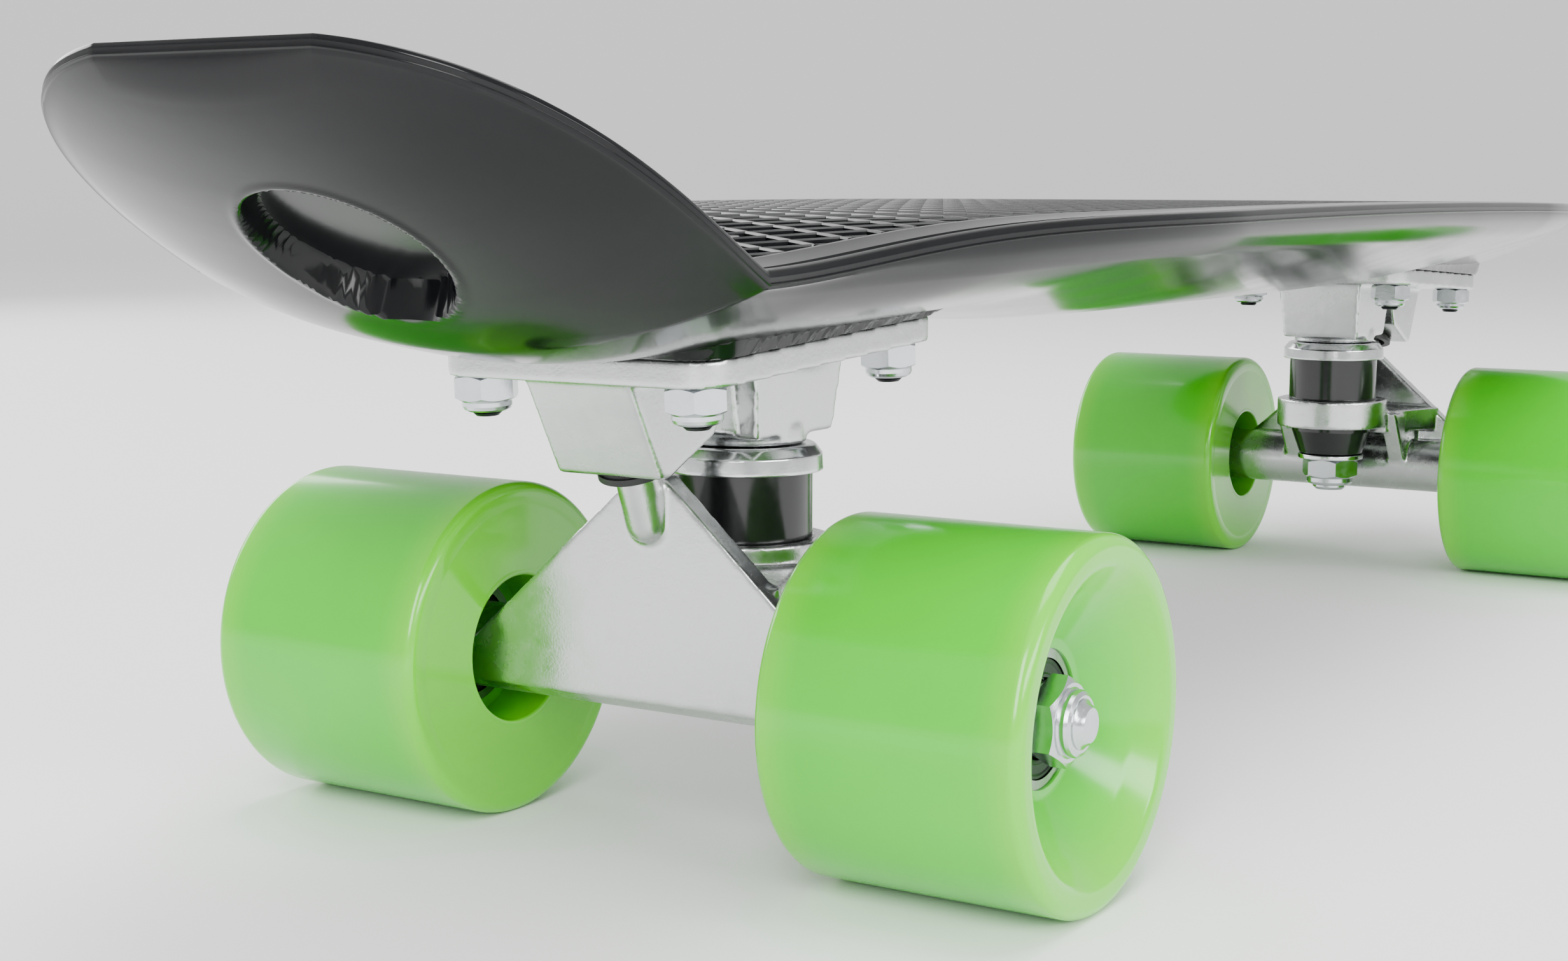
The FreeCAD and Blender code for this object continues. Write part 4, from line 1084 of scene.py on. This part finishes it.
    def ribs(self) -> bpy.types.Object:
        """The waffle: two families of thin upright ribs that cross all over the deck's top.

        Returns:
            The ribs, as one object.
        """
        points: list[np.ndarray] = []
        faces: Faces = []
        reach = self.half_length + self.half_width / self.rib_slope
        count = int(reach / self.rib_pitch)
        half = self.rib_thickness / 2
        length = math.hypot(1, self.rib_slope)
        outline = self.outline()
        inset = (self.rim_inset + 0.8) * self.inset_scale(outline[:, 0])[:, None]
        inner = outline + self.inward(outline) * inset
        side_line = inner[inner[:, 1] > 0]
        side_line = side_line[np.argsort(side_line[:, 0])]
        for lean in (1, -1):
            for number in range(-count, count + 1):
                foot = number * self.rib_pitch
                y = np.arange(-self.half_width, self.half_width, 0.8)
                x = foot + lean * y / self.rib_slope
                limit = np.interp(x, side_line[:, 0], side_line[:, 1], left=0, right=0)
                inside = np.abs(y) < limit
                if inside.sum() < 3:
                    continue
                x, y = x[inside], y[inside]
                top, bottom = self.rim_at(x), self.cell_floor(x, y) - 0.3
                side = np.array([self.rib_slope, -lean]) / length
                section = ((-half, bottom), (-half, top - 0.3), (-half + 0.25, top),
                           (half - 0.25, top), (half, top - 0.3), (half, bottom))
                rows = np.stack([np.stack([x + side[0] * offset, y + side[1] * offset, z], -1)
                                 for offset, z in section], axis=1)
                first = sum(len(block) for block in points)
                last = first + (len(x) - 1) * len(section)
                points.append(rows.reshape(-1, 3))
                faces += shifted(strip_faces(len(x), len(section), wrap=True), first)
                faces += [tuple(range(first, first + len(section))),
                          tuple(reversed(range(last, last + len(section))))]
        return mesh_piece("deck_ribs", np.concatenate(points), faces, self.finish,
                          sharp_degrees=30)

    def bolt_frames(self) -> list[Matrix]:
        """Placements of the deck bolts, on a baseplate's underside and square to it.

        Returns:
            A placement for each of the eight bolts.
        """
        frames = []
        for end in End:
            over, rise = self.plate_line(end)
            lean = Matrix.Rotation(-math.atan(rise), 4, "Y")
            for row in self.bolt_rows:
                x = self.axles[end] + end.to_middle * row
                height = over - self.plate_thickness + rise * end.to_middle * row
                for side in Side:
                    frames.append(Matrix.Translation((x, side.value * self.bolt_side, height))
                                  @ lean)
        return frames

    def bosses(self) -> list[bpy.types.Object]:
        """Round bosses that rise through the waffle, each with a seat for a bolt's head.

        Returns:
            The eight bosses.
        """
        top = self.bolt_top + 0.5
        outline = rounded([(3.2, 9.0, 0), (self.boss_radius, 9.0, 0),
                           (self.boss_radius, top, 0.4), (5.3, top, 0.3), (4.9, top - 2.9, 0.2),
                           (3.2, top - 2.9, 0)], 4)
        return [lathe(f"deck_boss_{number}", outline, self.finish, place, segments=64)
                for number, place in enumerate(self.bolt_frames())]

    def build(self) -> list[bpy.types.Object]:
        """Builds the deck's pieces and lets them stand for its CAD solid.

        Returns:
            The pieces.
        """
        shell = self.shell()
        pieces = [shell, self.ribs(), *self.bosses()]
        for piece in pieces:
            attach(piece, "board")
        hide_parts("deck")
        return pieces


def smooth_step(value: np.ndarray, nothing: float, whole: float) -> np.ndarray:
    """Goes smoothly from 0 at one value to 1 at another.

    Args:
        value: the values.
        nothing: the value that gives 0.
        whole: the value that gives 1.

    Returns:
        Shares from 0 to 1.
    """
    share = np.clip((value - nothing) / (whole - nothing), 0, 1)
    return share * share * (3 - 2 * share)


# ------------------------------------------------------------------ trucks

@dataclass
class Truck:
    """One truck: its castings, its bushings and what is on the kingpin."""

    end: End
    axle_x: float
    kingpin: float = 20.35
    kingpin_bore: float = 4.9
    nut_seat: float = 69.05
    casting_voxel: float = 0.42
    casting_rounds: int = 9
    axle_height: float = 29.5

    @property
    def name(self) -> str:
        """The end's name, which starts the names of the truck's nodes."""
        return self.end.value

    def place(self, along: float = 0.0, height: float = 0.0) -> Matrix:
        """A placement in the truck's own frame, which points to the middle of the board.

        Args:
            along: the distance from the axle towards the middle of the board.
            height: the height over the ground.

        Returns:
            The placement, in millimetres.
        """
        turn = Matrix.Identity(4) if self.end is End.REAR else Matrix.Rotation(math.pi, 4, "Z")
        return Matrix.Translation((self.axle_x, 0, 0)) @ turn @ Matrix.Translation(
            (along, 0, height))

    def casting(self, part: str, body: str) -> bpy.types.Object:
        """A casting with the soft edges and fillets that its CAD solid leaves out.

        The solid's mesh is copied, rebuilt in small even faces and relaxed, so that outer
        corners round off and inner ones fill, as in a die casting.

        Args:
            part: the CAD node's name without the end's.
            body: the body that the casting moves with.

        Returns:
            The casting.
        """
        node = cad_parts[f"{self.name}_{part}"]
        item = bpy.data.objects.new(f"{self.name}_{part}_casting", node.data.copy())
        bpy.context.scene.collection.objects.link(item)
        item.data.materials.clear()
        item.data.materials.append(TumbledDieCasting().material())
        weld = bmesh.new()
        weld.from_mesh(item.data)
        bmesh.ops.remove_doubles(weld, verts=weld.verts, dist=1e-6)
        weld.to_mesh(item.data)
        weld.free()
        remesh = item.modifiers.new("even_faces", "REMESH")
        remesh.mode = "VOXEL"
        remesh.voxel_size = self.casting_voxel * MM
        relax = item.modifiers.new("soft_edges", "SMOOTH")
        relax.factor, relax.iterations = 0.5, self.casting_rounds
        bake_modifiers(item)
        tidy_mesh(item, 180)
        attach(item, body)
        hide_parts(f"{self.name}_{part}")
        return item

    def bushings(self) -> list[bpy.types.Object]:
        """The barrel and the cone, the bushings that cushion the hanger against the board.

        Returns:
            The two bushings.
        """
        board, hanger = "board", f"{self.name}_truck"
        bore, wide, top, bottom = self.kingpin_bore, 12.3, 64.9, 49.3
        barrel = lathe(f"{self.name}_barrel", rounded(
            [(bore, top, 0), (wide, top, 0.7), (wide, bottom, 0.7), (bore, bottom, 0)]
            ) + [(bore, bottom + step * 1.3) for step in range(1, 12)],
            BlackUrethane(), self.place(self.kingpin))
        cone = lathe(f"{self.name}_cone", rounded(
            [(bore, 42.7, 0), (11.2, 42.7, 0.6), (11.2, 40.6, 1.0), (8.9, 34.0, 0.7),
             (bore, 34.0, 0)]), BlackUrethane(), self.place(self.kingpin))
        for piece, start, end in ((barrel, 64.0, 50.0), (cone, 34.6, 41.6)):
            subdivide_tall_faces(piece)
            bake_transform(piece)
        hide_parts(f"{self.name}_barrel_bushing")
        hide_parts(f"{self.name}_cone_bushing")
        return [barrel, cone]

    def washers(self) -> list[bpy.types.Object]:
        """The pressed cup washer above the barrel and the flat one below the cone.

        Returns:
            The two washers.
        """
        bore = self.kingpin_bore
        cup = lathe(f"{self.name}_cup", rounded(
            [(bore, 66.4, 0), (12.6, 66.4, 1.3), (14.0, 64.6, 0.9), (14.15, 62.4, 0.3),
             (14.2, 61.7, 0.25), (13.0, 61.65, 0.25), (12.75, 64.9, 0.5), (bore, 64.95, 0)]),
            PressedBrightSteel(), self.place(self.kingpin), segments=128)
        low = lathe(f"{self.name}_flat_washer", rounded(
            [(bore, 33.85, 0), (9.3, 33.85, 0.35), (9.3, 32.45, 0.35), (bore, 32.45, 0)]),
            PressedBrightSteel(), self.place(self.kingpin))
        for piece, node in ((cup, "cup_washer"), (low, "road_washer")):
            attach(piece, "board")
            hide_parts(f"{self.name}_{node}")
        return [cup, low]

    def kingpin_nut(self) -> bpy.types.Object:
        """The kingpin's lock nut.

        Returns:
            The nut.
        """
        over = Matrix.Rotation(math.pi, 4, "X")
        shape = LockNut(flats=14.2, hex_height=5.2, collar_height=2.3, collar_radius=6.5,
                        bore=4.78)
        nut = shape.build(f"{self.name}_kingpin_lock_nut",
                          [self.place(self.kingpin, 32.35) @ over], BrightZincPlate())
        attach(nut, "board")
        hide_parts(f"{self.name}_kingpin_nut")
        return nut

    def axle(self) -> list[bpy.types.Object]:
        """The axle with rolled threads at its ends, and its two lock nuts.

        Returns:
            The axle and its nuts.
        """
        radius, reach, pitch, thread_from = 3.94, 76.4, 1.0, 62.0
        outline: list[Point] = [(0.0, -reach), (2.7, -reach), (3.2, -reach + 0.5)]
        ridge = -reach + 0.9
        ridges: list[Point] = []
        while ridge < -thread_from:
            ridges += [(radius - 0.55, ridge), (radius, ridge + 0.4), (radius, ridge + 0.6)]
            ridge += pitch
        outline += ridges + [(radius, -thread_from + 1)]
        outline += [(across, -along) for across, along in reversed(outline)]
        lie = Matrix.Rotation(-math.pi / 2, 4, "X")
        axle = lathe(f"{self.name}_threaded_axle", outline, BrightZincPlate(),
                     self.place(0, self.axle_height) @ lie, closed=False, segments=64,
                     sharp_degrees=35)
        places = [self.place(0, self.axle_height) @ Matrix.Rotation(
            -side.value * math.pi / 2, 4, "X") @ Matrix.Translation((0, 0, self.nut_seat))
            for side in Side]
        shape = LockNut(flats=12.7, hex_height=4.0, collar_height=1.95, collar_radius=5.3,
                        bore=4.0)
        nuts = shape.build(f"{self.name}_axle_lock_nuts", places, BrightZincPlate())
        for piece, node in ((axle, "axle"), (nuts, "axle_nuts")):
            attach(piece, f"{self.name}_truck")
            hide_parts(f"{self.name}_{node}")
        return [axle, nuts]

    def build(self) -> list[bpy.types.Object]:
        """Builds the truck's pieces.

        Returns:
            The pieces.
        """
        pieces = [self.casting("baseplate", "board"),
                  self.casting("hanger", f"{self.name}_truck"), *self.bushings(),
                  *self.washers(), self.kingpin_nut(), *self.axle()]
        for part, finish in (("pivot_cup", MouldedRubber()), ("kingpin", BrightZincPlate()),
                             ("axle_washers", BrightZincPlate()),
                             ("bearing_inner_rings", GroundBearingSteel()),
                             ("bearing_spacers", BrightZincPlate()),
                             ("axle_nut_inserts", NaturalNylon())):
            dress(f"{self.name}_{part}", finish)
        return pieces


def bake_modifiers(item: bpy.types.Object) -> None:
    """Puts an object's modifiers into its mesh.

    Args:
        item: the object.
    """
    bpy.context.view_layer.update()
    seen = item.evaluated_get(bpy.context.evaluated_depsgraph_get())
    mesh = bpy.data.meshes.new_from_object(seen)
    item.modifiers.clear()
    item.data = mesh


def subdivide_tall_faces(item: bpy.types.Object, longest: float = 1.6) -> None:
    """Cuts edges that are longer than some millimetres, so that a piece can bend.

    Args:
        item: the object whose mesh is cut.
        longest: the longest upright edge that stays whole.
    """
    work = bmesh.new()
    work.from_mesh(item.data)
    for _ in range(4):
        tall = [edge for edge in work.edges if edge.calc_length() > longest * MM
                and abs(edge.verts[0].co.z - edge.verts[1].co.z) > longest * MM * 0.7]
        if not tall:
            break
        bmesh.ops.subdivide_edges(work, edges=tall, cuts=1, use_grid_fill=True)
    work.to_mesh(item.data)
    work.free()


def dress(node: str, finish: Finish) -> None:
    """Gives a CAD node that stays in view a finish in place of its plain material.

    Args:
        node: the node's name.
        finish: its finish.
    """
    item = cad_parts[node]
    for place in item.material_slots:
        place.material = finish.material()


# ------------------------------------------------------------------ wheels

@dataclass
class Wheel:
    """One urethane wheel and the parts of its bearings that turn with it."""

    end: End
    side: Side
    axle_x: float
    track: float = 56.2
    axle_height: float = 29.5
    radius: float = 29.5
    half_width: float = 22.5
    core: float = 12.9
    bowl_floor: float = 12.6
    seat: float = 11.02
    seat_stop: float = 5.0
    spacer_bore: float = 9.5
    shield_sunk: float = 0.22
    groove_pitch: float = 0.85
    groove_depth: float = 0.09
    grooves: tuple[float, float] = (13.8, 25.2)

    @property
    def name(self) -> str:
        """The start of the names of the wheel's nodes."""
        return f"{self.end.value}_{self.side.name.lower()}"

    def outline(self) -> list[Point]:
        """The tyre's section: tread, crest, bowl, bearing seats and the grooved inner face.

        Returns:
            The closed section, as (radius, height) points.
        """
        edge = self.half_width
        outer = rounded([(self.radius, 0, 0), (self.radius, edge, 5.2), (25.0, edge, 2.6),
                         (20.4, edge - 4.3, 9.0), (12.75, edge - 9.9, 1.2),
                         (self.bowl_floor, 12.5, 0)], 14)
        stop = self.seat_stop
        seats = [(self.seat, 12.4), (self.seat, stop), (self.spacer_bore, stop),
                 (self.spacer_bore, -stop), (self.seat, -stop), (self.seat, -12.0),
                 (self.core, -12.1)]
        inner = rounded([(self.core, -12.1, 0), (self.core, -edge, 0.7),
                         (self.grooves[0], -edge, 0)], 5)
        ridges: list[Point] = []
        spot = self.grooves[0]
        while spot < self.grooves[1]:
            ridges += [(spot, -edge), (spot + self.groove_pitch * 0.5, -edge + self.groove_depth)]
            spot += self.groove_pitch
        shoulder = rounded([(self.grooves[1] + 0.4, -edge, 0), (self.radius, -edge, 3.8),
                            (self.radius, 0, 0)], 12)
        return outer + seats + inner[1:] + ridges[1:] + shoulder[:-1]

    def place(self) -> Matrix:
        """Where the wheel stands, with its own +Z pointing outboard.

        Returns:
            The placement, in millimetres.
        """
        lie = Matrix.Rotation(-self.side.value * math.pi / 2, 4, "X")
        return Matrix.Translation((self.axle_x, self.side.value * self.track,
                                   self.axle_height)) @ lie

    def bearing_faces(self) -> bpy.types.Object:
        """The four shields: stepped discs with a rolled edge, set just inside the rings.

        Returns:
            The shields, as one object.
        """
        points: list[tuple[float, float, float]] = []
        faces: Faces = []
        segments = 96
        for middle, out in ((5.0, -1), (12.0, 1), (-5.0, 1), (-12.0, -1)):
            face = middle - out * self.shield_sunk
            outline = [(9.45, face - out * 0.35), (9.35, face - out * 0.05), (8.9, face),
                       (8.6, face - out * 0.18), (7.2, face - out * 0.18), (6.9, face),
                       (6.45, face - out * 0.05), (6.35, face - out * 0.35)]
            faces += shifted(strip_faces(len(outline), segments, wrap=True, closed=True),
                             len(points))
            points += turned(outline, segments)
        return mesh_piece(f"{self.name}_shields", points, faces, BlackOxideSteel(), self.place(),
                          sharp_degrees=30)

    def build(self) -> list[bpy.types.Object]:
        """Builds the wheel's pieces.

        Returns:
            The pieces.
        """
        tyre = lathe(f"{self.name}_wheel_tyre", self.outline(), CastUrethane(), self.place(),
                     segments=160, sharp_degrees=33)
        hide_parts(f"{self.name}_tyre")
        shields = self.bearing_faces()
        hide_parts(f"{self.name}_bearing_shields")
        for piece in (tyre, shields):
            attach(piece, f"{self.name}_wheel")
        dress(f"{self.name}_bearing_outer_rings", GroundBearingSteel())
        dress(f"{self.name}_bearing_balls", GroundBearingSteel())
        dress(f"{self.name}_bearing_cages", StampedBrass())
        return [tyre, shields]


# ------------------------------------------------------------------ deck bolts

@dataclass
class DeckHardware:
    """The bolts that hold the trucks to the deck, with their lock nuts."""

    frames: list[Matrix]
    top: float = 22.1
    tip: float = 6.85
    thread_to: float = 4.0
    pitch: float = 0.8
    shank: float = 2.36
    head_radius: float = 4.55
    head_height: float = 2.6
    cross_reach: float = 2.5
    cross_width: float = 0.85
    cross_depth: float = 1.5
    nut_gap: float = 0.03
    segments: int = 64

    def bolts(self) -> bpy.types.Object:
        """Countersunk bolts with a crosswise driver recess.

        Returns:
            The eight bolts, as one object.
        """
        outline = [(self.shank - 0.5, -self.tip), (self.shank, -self.tip + 0.5)]
        ridge = -self.tip + 0.9
        while ridge < self.thread_to:
            outline += [(self.shank - 0.3, ridge), (self.shank, ridge + 0.35)]
            ridge += self.pitch
        outline += [(self.shank, self.top - self.head_height),
                    (self.head_radius, self.top - 0.45), (self.head_radius, self.top - 0.15),
                    (self.head_radius - 0.2, self.top)]
        points: list[Vector] = []
        faces: Faces = []
        for place in self.frames:
            first = len(points)
            points += [place @ Vector(spot) for spot in turned(outline, self.segments)]
            faces += shifted(strip_faces(len(outline), self.segments, wrap=True), first)
            faces.append(tuple(range(first, first + self.segments)))
            self.add_cross(points, faces, place)
        return mesh_piece("truck_bolts", points, faces, BlackOxideSteel(), sharp_degrees=30)

    def add_cross(self, points: list[Vector], faces: Faces, place: Matrix) -> None:
        """Closes a bolt's head with a flat face round a crosswise recess.

        Args:
            points: the mesh's points, added to. The last ones are the head's rim.
            faces: the mesh's faces, added to.
            place: the bolt's placement.
        """
        wide, far, segments = self.cross_width / 2 + 0.25, self.cross_reach, self.segments
        first = len(points)
        rim = first - segments
        for height, shrink in ((self.top, 1.0), (self.top - self.cross_depth, 0.55)):
            for step in range(segments):
                turn = 2 * math.pi * step / segments
                across, along = math.cos(turn), math.sin(turn)
                reach = min(far / max(abs(across), abs(along)),
                            wide / max(min(abs(across), abs(along)), 1e-6))
                reach = max(reach, wide * math.sqrt(2)) * shrink
                points.append(place @ Vector((reach * across, reach * along, height)))
        for step in range(segments):
            after = (step + 1) % segments
            faces.append((rim + step, rim + after, first + after, first + step))
            faces.append((first + step, first + after, first + segments + after,
                          first + segments + step))
        faces.append(tuple(first + segments + step for step in range(segments)))

    def build(self) -> list[bpy.types.Object]:
        """Builds the bolts and nuts.

        Returns:
            The pieces.
        """
        bolts = self.bolts()
        over = Matrix.Rotation(math.pi, 4, "X")
        seat = Matrix.Translation((0, 0, -self.nut_gap)) @ over
        shape = LockNut(flats=9.5, hex_height=4.1, collar_height=1.9, collar_radius=4.1, bore=2.4)
        nuts = shape.build("truck_bolt_lock_nuts", [place @ seat for place in self.frames],
                           BrightZincPlate())
        for piece, node, slot in ((bolts, "deck_bolts", "black_steel"),
                                  (nuts, "deck_bolt_nuts", "zinc_steel")):
            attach(piece, "board")
            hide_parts(node)
        dress("deck_bolt_nut_inserts", NaturalNylon())
        return [bolts, nuts]


# ------------------------------------------------------------------ studio

@dataclass
class Studio:
    """The pale floor, the soft lights and the camera."""

    camera_at: tuple[float, float, float] = (-487.966, -217.276, 110.582)
    yaw_degrees: float = 31.98
    pitch_degrees: float = -7.299
    roll_degrees: float = 0.14
    lens_mm: float = 52.685
    sensor_mm: float = 36.0
    floor_reach: float = 6.0
    sky_strength: float = 0.95

    def camera(self) -> None:
        """Adds the camera and makes it the scene's."""
        data = bpy.data.cameras.new("camera")
        data.lens, data.sensor_width = self.lens_mm, self.sensor_mm
        data.clip_start, data.clip_end = 0.01, 50.0
        item = bpy.data.objects.new("camera", data)
        bpy.context.scene.collection.objects.link(item)
        yaw, pitch, roll = (math.radians(value) for value in
                            (self.yaw_degrees, self.pitch_degrees, self.roll_degrees))
        ahead = Vector((math.cos(yaw) * math.cos(pitch), math.sin(yaw) * math.cos(pitch),
                        math.sin(pitch)))
        right = Vector((math.sin(yaw), -math.cos(yaw), 0.0))
        up = right.cross(ahead)
        across = math.cos(roll) * right + math.sin(roll) * up
        above = -math.sin(roll) * right + math.cos(roll) * up
        matrix = Matrix((across, above, -ahead)).transposed().to_4x4()
        matrix.translation = Vector(self.camera_at) * MM
        item.matrix_world = matrix
        bpy.context.scene.camera = item

    def floor(self) -> None:
        """Lays the floor: one wide sheet that curves up far behind and beside the board."""
        reach, rows = self.floor_reach, 33
        steps = np.linspace(-reach, reach, rows)
        points = [(x / MM, y / MM, (max(0.0, math.hypot(x, y) - reach * 0.6) ** 2) * 0.5 / MM)
                  for x in steps for y in steps]
        floor = mesh_piece("floor", points, strip_faces(rows, rows), MattePaper(),
                           sharp_degrees=180)
        if floor.data.polygons[0].normal.z < 0:
            floor.data.flip_normals()

    def light(self, name: str, at: tuple[float, float, float],
              towards: tuple[float, float, float], size: tuple[float, float],
              power: float) -> None:
        """Adds a white soft box.

        Args:
            name: the light's name.
            at: its place, in metres.
            towards: the point that it faces.
            size: its width and height, in metres.
            power: its power, in watts.
        """
        data = bpy.data.lights.new(name, "AREA")
        data.shape, data.size, data.size_y = "RECTANGLE", size[0], size[1]
        data.energy = power
        item = bpy.data.objects.new(name, data)
        bpy.context.scene.collection.objects.link(item)
        item.location = at
        item.rotation_euler = (Vector(towards) - Vector(at)).to_track_quat("-Z", "Y").to_euler()

    def build(self) -> None:
        """Builds the studio."""
        self.camera()
        self.floor()
        world = bpy.data.worlds.new("studio")
        world.use_nodes = True
        sky = world.node_tree.nodes["Background"]
        sky.inputs[0].default_value = linear("#ffffff")
        sky.inputs[1].default_value = self.sky_strength
        bpy.context.scene.world = world
        self.light("overhead", (0.1, -0.1, 1.5), (0.0, 0.0, 0.0), (1.2, 0.9), 22)
        self.light("key", (-1.3, -0.5, 0.75), (-0.1, 0.0, 0.05), (0.5, 0.9), 20)
        self.light("near_side", (-0.4, -1.5, 0.6), (-0.1, 0.0, 0.06), (1.2, 0.35), 16)
        self.light("far_side", (0.2, 1.5, 0.7), (0.0, 0.0, 0.05), (1.4, 0.6), 14)


# ------------------------------------------------------------------ whole board

def main() -> None:
    """Builds every piece around the frame."""
    logging.basicConfig(level=logging.INFO, format="%(name)s: %(message)s")
    Studio().build()
    deck = Deck()
    for piece in deck.build():
        LOG.info("deck piece %s", piece.name)
    for piece in DeckHardware(deck.bolt_frames()).build():
        LOG.info("hardware piece %s", piece.name)
    for end in End:
        for piece in Truck(end, deck.axles[end]).build():
            LOG.info("truck piece %s", piece.name)
        for side in Side:
            for piece in Wheel(end, side, deck.axles[end]).build():
                LOG.info("wheel piece %s", piece.name)


if __name__ == "__main__":
    main()
